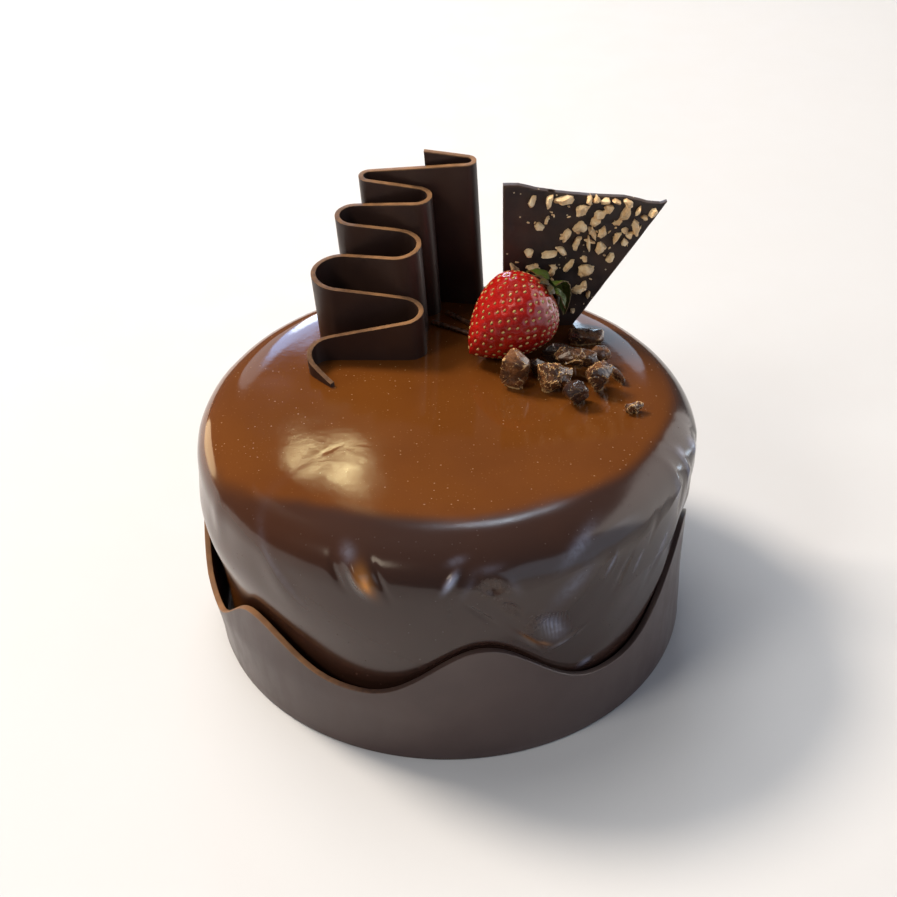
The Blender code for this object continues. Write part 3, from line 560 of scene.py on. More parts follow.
class Finish(Nodes):
    """A new material. plain are even values on its shader."""

    def __init__(self, name, roughness, **plain):
        self.material = bpy.data.materials.new(name)
        self.material.use_nodes = True
        super().__init__(self.material.node_tree)
        self.place = self.add("ShaderNodeTexCoord").outputs["Object"]
        self.shader = self.tree.nodes["Principled BSDF"].inputs
        for socket, value in {"Roughness": roughness, **plain}.items():
            self.shader[socket.replace("_", " ")].default_value = value

    def attribute(self, name):
        return self.add("ShaderNodeAttribute", {"attribute_name": name}).outputs["Fac"]

    def drift(self, scale, dark, light):
        return self.effect(melt_drift, Scale=scale, Dark=dark, Light=light)

    def specks(self, scale, size, shown):
        return self.effect(fine_specks, Scale=scale, Size=size, Share=shown)

    def rim(self, scale, breakup):
        return self.effect(pale_edge, Edge=self.attribute("edge"), Scale=scale, Breakup=breakup)

    def finish(self, base, roughness, scale, coarse, depth, strength=1.0, raised=None):
        """Feeds the shader a colour, a roughness and a grain as a bump, whose depth is in metres.

        raised is added to the grain's height.
        """
        self.feed(base, self.shader["Base Color"])
        self.feed(roughness, self.shader["Roughness"])
        height = self.effect(fine_grain, Scale=scale, Coarse=coarse)
        if raised:
            height = self.plus(height, raised)
        values = {"Height": height, "Strength": strength, "Distance": depth}
        self.feed(self.add("ShaderNodeBump", None, values).outputs["Normal"], self.shader["Normal"])
        return self.material


def scaled(tint, *parts):
    """A colour with each of its parts, or all of them, made brighter or darker."""
    return tuple(value * part for value, part in zip(tint, parts * 3 if len(parts) == 1 else parts)) + (1.0,)


def glaze_finish(settings):
    made = Finish("mirror_glaze", settings.roughness, Specular_IOR_Level=0.44)
    bright = made.specks(420.0, 0.10, 0.50)
    specks = made.plus(made.times(bright, 0.40), made.times(made.specks(900.0, 0.20, 0.30), 0.12))
    tint = made.mix(specks, made.drift(26.0, settings.deep, settings.base), settings.specks)
    mottled = made.remap(made.noise(1500.0, 3.0, 0.7), 0.35, 0.65, 0.0, 0.22)
    tint = made.mix(mottled, tint, settings.deep)
    # The thin value marks the cake's side, which is painted darker as painted shade, with a painted warm reflection
    # towards the left
    thin = made.attribute("thin")
    across = made.add("ShaderNodeSeparateXYZ", None, {0: made.place}).outputs["X"]
    side_shade_colour = made.mix(made.remap(across, -78.0 * MM, -5.0 * MM), settings.side_left, settings.side)
    ragged = made.plus(thin, made.uneven(-0.08, 0.08, 48.0, 3.0))
    tint = made.mix(made.remap(ragged, 0.0, 1.0), tint, side_shade_colour)
    scuffed = made.remap(made.noise(700.0, 4.0, 0.65), 0.38, 0.60, 0.1, 1.0)
    scuffed = made.times(made.attribute("scuff"), scuffed)
    tint = made.mix(made.times(scuffed, 0.6), tint, settings.scuffed)
    # Painted warm reflection on the drips and on the lips of the finger marks
    tint = made.mix(made.attribute("amber"), tint, settings.amber)
    pale = made.remap(made.noise(520.0, 3.0), 0.3, 0.6, 0.6, 1.0)
    # Painted cool reflection, paler in flecks
    tint = made.mix(made.times(made.attribute("sheen"), pale), tint, settings.sheen)
    dull = made.uneven(settings.roughness * 0.8, settings.roughness * 1.3, 90.0, 3.0)
    for value, part in ((bright, 0.3), (thin, 0.11), (scuffed, 0.3)):
        dull = made.plus(dull, made.times(value, part))
    return made.finish(tint, dull, 2300.0, 0.9, 0.0042 * MM, 0.7, made.times(bright, 2.0))


def edged_finish(name, settings, drift_scale, streaks, grain_depth):
    """Set chocolate with a paler cut edge, drawn out in faint streaks along its height. The edge value can also carry
    painted light, where a rim is paler on its lit side.
    """
    made = Finish(name, settings.roughness, Specular_IOR_Level=0.40)
    edge = made.rim(700.0, 0.35)
    paler = made.mix(made.uneven(0.0, 0.35, 260.0, 3.0), settings.edge, settings.base)
    tint = made.mix(edge, made.drift(drift_scale, settings.base, settings.light), paler)
    sockets = {"Vector": made.place, "Scale": (1.0, 1.0, streaks)}
    drawn = made.add("ShaderNodeMapping", None, sockets).outputs["Vector"]
    streak = made.noise(160.0, 4.0, 0.6, drawn)
    dull = made.remap(streak, 0.3, 0.7, settings.roughness * 0.85, settings.roughness * 1.15)
    return made.finish(tint, made.plus(dull, made.times(edge, 0.2)), 900.0, 0.3, grain_depth, 0.7)


def shard_finish(settings):
    made = Finish("shard_chocolate", 0.5)
    rimmed = made.times(made.rim(500.0, 0.5), 0.10)
    tint = made.mix(rimmed, made.drift(55.0, settings.base, settings.light), settings.skin)
    tint = made.mix(made.times(made.specks(520.0, 0.16, 0.16), 0.5), tint, settings.nut)
    return made.finish(tint, made.uneven(0.42, 0.62, 140.0, 3.0), 800.0, 1.5, 0.04 * MM)


def nut_finish(settings):
    made = Finish("chopped_nut", 0.55)
    flesh = made.drift(330.0, scaled(settings.nut, 0.82, 0.66, 0.5), settings.nut)
    skinned = made.remap(made.noise(420.0, 4.0, 0.6), 0.46, 0.66)
    brown = made.times(made.attribute("tone"), 0.70)
    mask = made.plus(made.times(brown, 0.35), made.times(skinned, made.plus(brown, 0.10)))
    tint = made.mix(mask, flesh, settings.skin)
    return made.finish(tint, made.uneven(0.42, 0.7, 900.0, 4.0, 0.65), 1400.0, 1.4, 0.09 * MM)


def berry_finish(settings):
    skin = {"Coat_Weight": 0.15, "Coat_Roughness": 0.08, "Subsurface_Weight": 0.10, "Subsurface_Scale": 0.0012}
    made = Finish("ripe_strawberry", 0.22, **skin)
    flesh = made.drift(120.0, scaled(settings.base, 0.62), settings.base)
    tint = made.mix(made.times(made.attribute("dimple"), 0.2), flesh, settings.light)
    tint = made.mix(made.times(made.attribute("shoulder"), 0.6), tint, settings.shoulder)
    return made.finish(tint, made.uneven(0.17, 0.32, 500.0, 3.0), 1500.0, 0.7, 0.03 * MM)


def seed_finish(settings):
    made = Finish("berry_seed", 0.35)
    tint = made.drift(90.0, scaled(settings.seed, 0.55, 0.7, 0.5), settings.seed)
    return made.finish(tint, 0.35, 2600.0, 0.5, 0.03 * MM)


def leaf_finish(settings):
    made = Finish("berry_leaf", 0.45)
    blade = made.drift(210.0, settings.leaf, scaled(settings.leaf, 1.7))
    tint = made.mix(made.rim(420.0, 0.6), blade, settings.rim)
    tint = made.mix(made.times(made.attribute("dry"), 0.85), tint, settings.dry)
    tint = made.mix(made.times(made.attribute("vein"), 0.45), tint, settings.vein)
    return made.finish(tint, made.uneven(0.5, 0.75, 700.0), 1500.0, 1.0, 0.05 * MM)


def chunk_finish(settings):
    made = Finish("broken_chocolate", 0.28, Coat_Weight=0.7, Coat_Roughness=0.10)
    smooth = made.drift(240.0, settings.base, scaled(settings.base, 1.7))
    pale = made.attribute("pale")
    patches = made.remap(made.noise(210.0, 4.0, 0.6), 0.42, 0.58)
    paleness = made.calculate("MINIMUM", made.times(pale, made.plus(patches, 0.30)), 1.0)
    # Raised ridges and corners take a bright gold painted highlight, standing in for glints on the broken edges
    ridges = made.times(made.rim(900.0, 0.8), made.plus(pale, 0.15))
    tint = made.mix(ridges, made.mix(paleness, smooth, settings.broken), settings.ridge)
    return made.finish(tint, made.uneven(0.16, 0.40, 800.0, 5.0, 0.65), 1500.0, 1.0, 0.07 * MM)


def floor_finish(settings):
    made = Finish("pale_floor", 0.7)
    made.feed(made.drift(6.0, scaled(settings.floor, 0.985), settings.floor), made.shader["Base Color"])
    made.feed(made.uneven(0.62, 0.8, 40.0), made.shader["Roughness"])
    return made.material


def band_height(degrees):
    """The band's height in a direction: rounded crests, with wider troughs between them."""
    first = BAND_WAVE[0][0]
    around = first + (degrees - first) % 360.0
    marks = (*BAND_WAVE, (first + 360.0, BAND_WAVE[0][1]))
    for (start, start_height), (end, end_height) in zip(marks, marks[1:]):
        if around <= end:
            break
    along = (around - start) / (end - start)
    rising = end_height > start_height
    low, high = sorted((start_height, end_height))
    part = along if rising else 1.0 - along
    return low + (high - low) * (1.0 - math.cos(math.pi * part**TROUGH_WIDENING)) / 2.0


def band_outside(degrees, height, radius):
    """The band's outer radius in a direction and at a height."""
    lean = sum(depth * bell(turn_between(degrees, middle), half) for middle, half, depth in BAND_LEANS)
    return radius + lean * min(height / FLARE_HEIGHT, 1.0) ** 1.3


def side_radius(glaze, height):
    """The cake's radius below the shoulder, before the swells in the glaze."""
    tuck = glaze.tuck * (1.0 - ease(height / glaze.shoulder))
    return glaze.radius - tuck + glaze.pool * math.exp(-height / (3.0 * MM))


def shoulder_point(glaze, angle):
    """Radius and height on the rounded shoulder, from the flat top at nought to the side at a quarter turn."""
    power = 2.0 / glaze.roundness
    across = glaze.radius - glaze.flat_top
    down = glaze.height - glaze.shoulder
    return glaze.flat_top + across * math.sin(angle) ** power, glaze.shoulder + down * math.cos(angle) ** power


def surface_radius(glaze, height):
    """The cake's radius at a height, on the shoulder or below it."""
    if height <= glaze.shoulder:
        return side_radius(glaze, height)
    drop = (height - glaze.shoulder) / (glaze.height - glaze.shoulder)
    across = glaze.radius - glaze.flat_top
    return glaze.flat_top + across * (1.0 - min(drop, 1.0) ** glaze.roundness) ** (1.0 / glaze.roundness)


def glaze_profile(glaze):
    """The cake's outline from the middle of its top to the middle of its base."""
    points = [(glaze.flat_top * step / 22, glaze.height) for step in range(22)]
    points += [shoulder_point(glaze, math.pi / 2 * (step / 32) ** 1.15) for step in range(33)]
    heights = [glaze.shoulder * row / 64 for row in reversed(range(64))]
    points += [(side_radius(glaze, height), height) for height in heights]
    points += [(side_radius(glaze, 0.0) * part, 0.0) for part in (0.8, 0.4, 0.0)]
    return points


def mark_frame(glaze, degrees, height, half_length, half_width, turn):
    """A mark's middle on the side, its long and cross directions, and its half sizes in metres."""
    angle = math.radians(degrees)
    outwards = Vector((math.cos(angle), math.sin(angle), 0.0))
    around = Vector((-math.sin(angle), math.cos(angle), 0.0))
    z = height * MM
    radius = surface_radius(glaze, z)
    rise = (outwards * (radius - surface_radius(glaze, z - MM)) + Vector((0.0, 0.0, MM))).normalized()
    cosine, sine = math.cos(math.radians(turn)), math.sin(math.radians(turn))
    middle = outwards * radius + Vector((0.0, 0.0, z))
    return middle, around * cosine + rise * sine, rise * cosine - around * sine, half_length * MM, half_width * MM


def glaze_marks(glaze):
    """Every mark in the glaze as its frame and its depth in metres."""
    marks = [(mark_frame(glaze, *shape), depth * MM) for *shape, depth in GLAZE_MARKS]
    for shape in TOP_MARKS:
        marks.append((top_frame(glaze, *shape[:-1]), shape[-1] * MM))
    return marks


def top_frame(glaze, x, y, half_length, half_width, turn):
    """The same as mark_frame, for a mark on the flat top."""
    cosine, sine = math.cos(math.radians(turn)), math.sin(math.radians(turn))
    ways = Vector((cosine, sine, 0.0)), Vector((-sine, cosine, 0.0))
    return (Vector((x * MM, y * MM, glaze.height)), *ways, half_length * MM, half_width * MM)


def side_shade_radius(degrees):
    """Where the painted shade on the glaze's side begins in a direction, eased between the listed directions."""
    for (start, first), (end, second) in zip(SIDE_SHADE_RADII, SIDE_SHADE_RADII[1:]):
        if degrees <= end:
            break
    return (first + (second - first) * (degrees - start) / (end - start)) * MM


def weight_in(frame_of_mark, point):
    """How strongly a mark shows at a point, from nought to one."""
    middle, long_way, cross_way, half_length, half_width = frame_of_mark
    offset = point - middle
    if offset.length_squared > (half_length * 3.0) ** 2:
        return 0.0
    return bell(offset.dot(long_way), half_length) * bell(offset.dot(cross_way), half_width)


def glaze_relief(point, marks, glaze):
    """How far the glaze stands out at a point: slow waves, slanting runs, drips and finger marks."""
    radius, degrees = polar(point)
    side = ease((radius - glaze.flat_top) / (glaze.radius - glaze.flat_top))
    wave = noise.noise(point * 34.0) + 0.5 * noise.noise(point * 71.0 + Vector((3.0, 1.0, 2.0)))
    relief = glaze.waves * wave * (0.35 + 0.9 * side)
    right = bell(turn_between(degrees, -34.0), 34.0)
    around = math.radians(turn_between(degrees, -90.0)) * glaze.radius
    along, across = (0.62 * around + 0.78 * point.z, 0.62 * point.z - 0.78 * around)
    run = noise.noise(Vector((along * 30.0, across * 95.0, 1.0)))
    low = ease((glaze.height - point.z) / (16.0 * MM))
    relief += (0.10 * side + 0.60 * right * low) * MM * run
    if radius < glaze.flat_top:
        for *shape, depth in TOP_STEPS:
            step = top_frame(glaze, *shape)
            relief += depth * MM * weight_in(step, point) * (point - step[0]).dot(step[2]) / step[4]
    return relief + sum(depth * weight_in(shape, point) for shape, depth in marks)


def refine(bm, frames, reach):
    """Splits the faces in four wherever one of the marks is near."""
    near = set()
    for face in bm.faces:
        middle = face.calc_center_median()
        if any((middle - shape[0]).length < shape[3] * reach for shape in frames):
            near.update(face.edges)
    bmesh.ops.subdivide_edges(bm, edges=list(near), cuts=1, use_grid_fill=True)


def make_glazed_cake(glaze, band):
    bm = turned(glaze_profile(glaze), 440)
    for corner in bm.verts:
        radius, degrees = polar(corner.co)
        if radius < glaze.flat_top:
            continue
        swollen = radius
        for middle, height, half_width, half_height, depth in GLAZE_SWELLS:
            swollen += depth * bell(turn_between(degrees, middle), half_width) * bell(corner.co.z - height, half_height)
        edge = band_height(degrees)
        inside = band_outside(degrees, min(corner.co.z, edge), band.radius) - band.thickness - 1.6 * GAP
        limit = inside + 0.55 * max(0.0, corner.co.z - edge - 0.6 * MM)
        swollen = soft_least(swollen, limit, 0.2 * MM)
        corner.co.x *= swollen / radius
        corner.co.y *= swollen / radius
    marks = glaze_marks(glaze)
    refine(bm, [shape for shape, _ in marks], 1.7)
    tints = {"scuff": SCUFFS, "amber": WARM_REFLECTION_SPOTS, "sheen": COOL_REFLECTION_SPOTS}
    tints = {name: [(mark_frame(glaze, *shape), part) for *shape, part in spots] for name, spots in tints.items()}
    refine(bm, [shape for spots in tints.values() for shape, _ in spots], 1.3)
    bm.normal_update()
    ridge_at, ridge_height, ridge_half, ridge_pitch, ridge_depth = FINGER_RIDGES
    layers = {name: bm.verts.layers.float.new(name) for name in tints}
    side_shade_layer = bm.verts.layers.float.new("thin")
    moves = []
    for corner in bm.verts:
        radius, degrees = polar(corner.co)
        # Past this radius the side is painted darker as painted shade
        corner[side_shade_layer] = ease((radius - side_shade_radius(degrees) + 4.5 * MM) / (9.0 * MM))
        if corner.co.z < 2.0 * MM:
            moves.append(0.0)
            continue
        relief = glaze_relief(corner.co, marks, glaze)
        for name, spots in tints.items():
            corner[layers[name]] = min(1.0, sum(part * weight_in(shape, corner.co) for shape, part in spots))
        relief += 0.10 * MM * corner[layers["scuff"]] * noise.noise(corner.co * 900.0)
        across = turn_between(degrees, ridge_at) * 1.4
        up = corner.co.z / MM - ridge_height
        if abs(across) < 12.0 and abs(up) < 12.0:
            weight = bell(across, ridge_half) * bell(up, ridge_half * 1.2)
            ridge = math.sin(math.tau * (across + 0.10 * up) / ridge_pitch)
            relief += weight * ridge_depth * MM * ridge
            # The painted cool reflection breaks into stripes across the finger's ridges
            corner[layers["sheen"]] *= 1.0 - 0.65 * weight * (0.5 - 0.5 * ridge)
        clear = ease((corner.co.z - band_height(degrees)) / (9.0 * MM))
        moves.append(relief if relief < 0.0 else relief * clear)
    for corner, move in zip(bm.verts, moves):
        corner.co += corner.normal * move
        radius, _ = polar(corner.co)
        if radius > WIDEST_RIGHT and corner.co.x > 0.0:
            corner.co.x *= WIDEST_RIGHT / radius
            corner.co.y *= WIDEST_RIGHT / radius
    return mesh_from(bm, "glazed_cake")


def make_wavy_band(band):
    """A ring of faces raised row by row to the wavy edge. The edge value marks the rows at its cut rim, and is much
    stronger at the left, where the paler rim is painted light.
    """
    bm = bmesh.new()
    mark = bm.verts.layers.float.new("edge")
    bmesh.ops.create_circle(bm, segments=420, radius=band.radius)
    for corner in bm.verts:
        corner.co = corner.co.normalized() * band.radius + Vector((0.0, 0.0, 0.12 * MM))
    edges = list(bm.edges)
    rows = [row / 14 for row in range(1, 14)] + [0.97, 0.985, 1.0]
    for row in rows:
        corners, edges = raise_edges(bm, edges)
        for corner in corners:
            _, degrees = polar(corner.co)
            height = band_height(degrees) * row
            level = Vector((corner.co.x, corner.co.y, 0.0)).normalized()
            wave = 0.10 * MM * noise.noise(Vector((level.x * 3.5, level.y * 3.5, height * 30.0))) * ease(row * 3.0)
            outside = band_outside(degrees, height, band.radius) - 0.1 * MM + wave
            corner.co = level * outside + Vector((0.0, 0.0, height))
            # The cut rim is a little paler all round, and much paler at the left as painted light from the warm lamp
            corner[mark] = ease((row - 0.97) / 0.03) * (0.22 + 0.95 * bell(turn_between(degrees, -152.0), 34.0))
    bmesh.ops.recalc_face_normals(bm, faces=bm.faces)
    return mesh_from(bm, "wavy_band")


def add_wall(piece, thickness, offset, rounding, even=True):
    """Gives a sheet its thickness and rounds its edges."""
    wall = piece.modifiers.new("Wall", "SOLIDIFY")
    wall.thickness = thickness
    wall.offset = offset
    wall.use_even_offset = even
    soft = piece.modifiers.new("Rounded Edges", "BEVEL")
    soft.width = rounding
    soft.segments = 3
    soft.limit_method = "ANGLE"
    soft.angle_limit = math.radians(50.0)


def add_straight(route, end, step):
    start = route[-1]
    steps = max(1, round((end - start).length / step))
    for number in range(1, steps + 1):
        route.append(start.lerp(end, number / steps))


def ribbon_route():
    """The ribbon's middle line on the cake's top: arcs round its bends, joined by straight runs that touch them."""
    bends = [(Vector(RIBBON_START), 0.0, 1.0)]
    for number, (x, y, radius) in enumerate(RIBBON_BENDS):
        bends.append((Vector((x, y)), radius, -1.0 if number % 2 == 0 else 1.0))
    bends.append((Vector(RIBBON_END), 0.0, 1.0))
    headings = []
    for (start, radius, turn), (end, next_radius, next_turn) in zip(bends, bends[1:]):
        between = end - start
        slant = math.asin((next_turn * next_radius - turn * radius) / between.length)
        headings.append(math.atan2(between.y, between.x) - slant)
    route = [bends[0][0]]
    for number in range(1, len(bends) - 1):
        middle, radius, turn = bends[number]
        start, end = headings[number - 1], headings[number]
        sweep = (end - start) * turn % math.tau * turn
        steps = max(2, round(abs(sweep) / math.radians(5.0)))
        for step in range(steps + 1):
            heading = start + sweep * step / steps
            left = Vector((-math.sin(heading), math.cos(heading)))
            point = middle - left * turn * radius
            if step == 0:
                add_straight(route, point, 1.1 * MM)
            else:
                route.append(point)
    add_straight(route, bends[-1][0], 1.1 * MM)
    for _ in range(4):
        eased = [(before + point * 2.0 + after) / 4.0 for before, point, after in zip(route, route[1:], route[2:])]
        route = [route[0], *eased, route[-1]]
    return route


def make_folded_ribbon(ribbon, glaze):
    """The ribbon's middle line, raised row by row to its sloping top. The edge value marks its cut rim, painted paler
    towards the right bends as painted light.
    """
    route = ribbon_route()
    lengths = [0.0]
    for start, end in zip(route, route[1:]):
        lengths.append(lengths[-1] + (end - start).length)
    bm = bmesh.new()
    along = bm.verts.layers.float.new("along")
    mark = bm.verts.layers.float.new("edge")
    foot = [bm.verts.new((point.x, point.y, glaze.height - SINK)) for point in route]
    for corner, distance in zip(foot, lengths):
        corner[along] = distance / lengths[-1]
    edges = [bm.edges.new(pair) for pair in zip(foot, foot[1:])]
    rows = [row / 22 for row in range(1, 22)] + [0.975, 0.988, 1.0]
    for row in rows:
        corners, edges = raise_edges(bm, edges)
        for corner in corners:
            part = corner[along]
            height = ribbon.low + (ribbon.high - ribbon.low) * part + 4.0 * ribbon.bow * part * (1.0 - part)
            height += GAP - ribbon.taper * bell(part, 0.035)
            # The cut rim is painted paler towards the right bends, as painted light
            painted_light_to_right = ease((corner.co.x / MM + 26.0) / 14.0)
            corner[mark] = 0.52 + 0.48 * painted_light_to_right if row == 1.0 else 0.0
            corner.co = Vector((corner.co.x, corner.co.y, glaze.height - SINK + (height + SINK) * row))
    for corner in bm.verts:
        height = max(0.0, corner.co.z - glaze.height)
        ripple = noise.noise(Vector((corner.co.x * 60.0, corner.co.y * 60.0, corner.co.z * 22.0)))
        corner.co.x += RIBBON_LEAN[0] * height + 0.12 * MM * ripple
        corner.co.y += RIBBON_LEAN[1] * height
    bmesh.ops.recalc_face_normals(bm, faces=bm.faces)
    return mesh_from(bm, "folded_ribbon")


def make_shard_plate(shard):
    """The shard's outline as one face, cut into a fine net, waved a little. The edge value marks its rim."""
    bm = bmesh.new()
    corners = [bm.verts.new((x * MM, shard.back, z * MM)) for x, z in SHARD_OUTLINE]
    bm.faces.new(corners)
    pitch = 1.3 * MM
    for axis in (Vector((1.0, 0.0, 0.0)), Vector((0.0, 0.0, 1.0))):
        spots = [corner.co.dot(axis) for corner in bm.verts]
        for number in range(1, math.ceil((max(spots) - min(spots)) / pitch)):
            at = axis * (min(spots) + pitch * number)
            geometry = [*bm.verts, *bm.edges, *bm.faces]
            bmesh.ops.bisect_plane(bm, geom=geometry, dist=0.12 * MM, plane_co=at, plane_no=axis)
    mark = bm.verts.layers.float.new("edge")
    for corner in bm.verts:
        corner[mark] = 1.0 if corner.is_boundary else 0.0
        corner.co.y += 0.35 * MM * noise.noise(corner.co * 38.0)
        if corner.is_boundary and corner.co.z > 84.0 * MM:
            corner.co.z -= 0.12 * MM + 0.15 * MM * noise.noise(corner.co * 260.0)
    bmesh.ops.recalc_face_normals(bm, faces=bm.faces)
    return mesh_from(bm, "shard_plate")


def add_nut(bm, tone_layer, place, size, turn, tone, draw, detail=3):
    """A chopped nut: a rough ball with flat faces cut at random, and lumps on them."""
    made = bmesh.ops.create_icosphere(bm, subdivisions=detail, radius=0.62)["verts"]
    cuts = []
    for _ in range(9):
        way = Vector((draw.gauss(0.0, 1.0), draw.gauss(0.0, 0.4), draw.gauss(0.0, 1.0))).normalized()
        cuts.append((way, draw.uniform(0.30, 0.48)))
    shift = Vector((draw.uniform(0.0, 90.0), 0.0, 0.0))
    for corner in made:
        for way, depth in cuts:
            corner.co -= way * max(0.0, corner.co.dot(way) - depth)
        corner.co *= 1.0 + 0.24 * noise.noise(corner.co * 3.4 + shift) + 0.09 * noise.noise(corner.co * 9.0 - shift)
        corner[tone_layer] = tone
    matrix = Matrix.Translation(place) @ Matrix.Rotation(turn, 4, "Y") @ Matrix.Diagonal((*size, 1.0))
    bmesh.ops.transform(bm, matrix=matrix, verts=made)


def make_shard_nuts(shard):
    """Chopped nuts half sunk in the shard's front, with finer bits between them."""
    draw = random.Random(NUT_DUST_SEED)
    bm = bmesh.new()
    tone_layer = bm.verts.layers.float.new("tone")
    front = shard.back - shard.thickness / 2
    for x, z, long_size, wide_size, turn, tone in NUTS:
        deep = min(4.6, 2.2 + 0.5 * wide_size + draw.uniform(0.0, 0.5))
        place = Vector((x * MM, front - 0.25 * MM, z * MM))
        size = Vector((long_size * 0.94, deep, wide_size * 0.96)) * MM
        add_nut(bm, tone_layer, place, size, -math.radians(turn), tone + draw.uniform(-0.1, 0.1), draw)
        if long_size > 4.4:
            side = draw.choice((-0.24, 0.24)) * long_size * MM
            way = Vector((math.cos(math.radians(turn)), 0.0, math.sin(math.radians(turn))))
            second = place + way * side
            add_nut(bm, tone_layer, second, size * 0.66, draw.uniform(0.0, math.pi), tone + 0.1, draw)
    placed = 0
    while placed < shard.dust:
        x, z = draw.uniform(21.0, 68.0), draw.uniform(88.0, 131.0)
        if depth_inside(x, z) < 1.2:
            continue
        size = Vector((draw.uniform(0.5, 1.5), 0.9, draw.uniform(0.4, 1.0))) * MM
        place = Vector((x * MM, front, z * MM))
        add_nut(bm, tone_layer, place, size, draw.uniform(0.0, math.pi), draw.uniform(0.1, 0.7), draw, detail=2)
        placed += 1
    bmesh.ops.recalc_face_normals(bm, faces=bm.faces)
    return mesh_from(bm, "shard_nuts")


def depth_inside(x, z):
    """How far a point in millimetres lies inside the shard's outline, or a negative distance when it is outside."""
    nearest = math.inf
    inside = False
    for (x1, z1), (x2, z2) in zip(SHARD_OUTLINE, (*SHARD_OUTLINE[1:], SHARD_OUTLINE[0])):
        side = Vector((x2 - x1, z2 - z1))
        part = max(0.0, min(1.0, Vector((x - x1, z - z1)).dot(side) / side.length_squared))
        nearest = min(nearest, math.hypot(x - x1 - side.x * part, z - z1 - side.y * part))
        if (z1 > z) != (z2 > z) and x < x1 + (z - z1) / (z2 - z1) * (x2 - x1):
            inside = not inside
    return nearest if inside else -nearest


def berry_radius(berry, part):
    """The strawberry's radius at a share of its length from tip to leafy end."""
    if part < BERRY_WIDEST:
        return berry.radius * (1.0 - (1.0 - part / BERRY_WIDEST) ** 2) ** BERRY_TIP_BLUNTNESS
    return berry.radius * math.sqrt(max(0.0, 1.0 - ((part - BERRY_WIDEST) / (1.0 - BERRY_WIDEST)) ** 2))


def berry_lump(point):
    """How far the strawberry bulges at a point."""
    return noise.noise(point * 70.0) * 0.30 * MM


def berry_matrix():
    """Carries the upright berry, tip down, to where it lies."""
    lean = Matrix.Rotation(math.pi / 2 - BERRY_TILT, 4, "Y")
    return Matrix.Translation(BERRY_MIDDLE) @ Matrix.Rotation(BERRY_HEADING, 4, "Z") @ lean


def seed_places(berry):
    """Where the seeds sit on the upright berry: evenly by area, each a golden angle round from the last."""
    steps = 200
    areas = [0.0]
    for step in range(steps):
        low, high = berry_radius(berry, step / steps), berry_radius(berry, (step + 1) / steps)
        areas.append(areas[-1] + (low + high) / 2 * math.hypot(berry.span / steps, high - low))
    draw = random.Random(SEED_TURNS_SEED)
    places = []
    for number in range(berry.seeds):
        wanted = areas[-1] * (number + 0.5) / berry.seeds
        step = next(index for index, area in enumerate(areas) if area >= wanted)
        part = (step - (areas[step] - wanted) / (areas[step] - areas[step - 1])) / steps
        if part > 0.955:
            continue
        angle = number * GOLDEN_ANGLE + draw.uniform(-0.09, 0.09)
        radius = berry_radius(berry, part)
        around = Vector((math.cos(angle), math.sin(angle), 0.0))
        after = berry_radius(berry, part + 0.01)
        before = berry_radius(berry, part - 0.01)
        rise = (around * (after - before) + Vector((0.0, 0.0, 0.02 * berry.span))).normalized()
        outwards = rise.cross(Vector((-math.sin(angle), math.cos(angle), 0.0))) * -1.0
        places.append((around * radius + Vector((0.0, 0.0, (part - 0.5) * berry.span)), rise, outwards))
    return places


def make_berry_flesh(berry, seeds):
    profile = []
    steps = 120
    for step in range(steps + 1):
        part = 0.5 - 0.5 * math.cos(math.pi * (1.0 - step / steps))
        profile.append((berry_radius(berry, part), (part - 0.5) * berry.span))
    bm = turned(profile, 200)
    dimple_layer = bm.verts.layers.float.new("dimple")
    shoulder_layer = bm.verts.layers.float.new("shoulder")
    tree = kdtree.KDTree(len(seeds))
    for number, (place, _, _) in enumerate(seeds):
        tree.insert(place, number)
    tree.balance()
    bm.normal_update()
    moves = []
    for corner in bm.verts:
        hollow = sum(bell(distance, 0.92 * MM) for _, _, distance in tree.find_range(corner.co, 2.4 * MM))
        lump = berry_lump(corner.co)
        corner[dimple_layer] = min(1.0, hollow)
        corner[shoulder_layer] = ease((corner.co.z / berry.span + 0.5 - 0.93) / 0.07)
        moves.append(lump - berry.dimple * min(hollow, 1.15) - 0.12 * MM)
    for corner, move in zip(bm.verts, moves):
        corner.co += corner.normal * move
    bmesh.ops.transform(bm, matrix=berry_matrix(), verts=bm.verts)
    return mesh_from(bm, "strawberry_flesh")


def make_berry_seeds(berry, seeds):
    bm = bmesh.new()
    draw = random.Random(SEED_SIZES_SEED)
    for place, rise, outwards in seeds:
        across = outwards.cross(rise)
        long_size = draw.uniform(1.05, 1.4) * MM
        turned_way = Matrix((across, rise, outwards)).transposed().to_4x4()
        spot = Matrix.Translation(place + outwards * (berry_lump(place) - berry.dimple * 0.98))
        size = Matrix.Diagonal((long_size * 0.62, long_size, 0.62 * MM, 1.0))
        bmesh.ops.create_uvsphere(bm, u_segments=8, v_segments=5, radius=0.5, matrix=spot @ turned_way @ size)
    bmesh.ops.transform(bm, matrix=berry_matrix(), verts=bm.verts)
    bmesh.ops.recalc_face_normals(bm, faces=bm.faces)
    return mesh_from(bm, "strawberry_seeds")


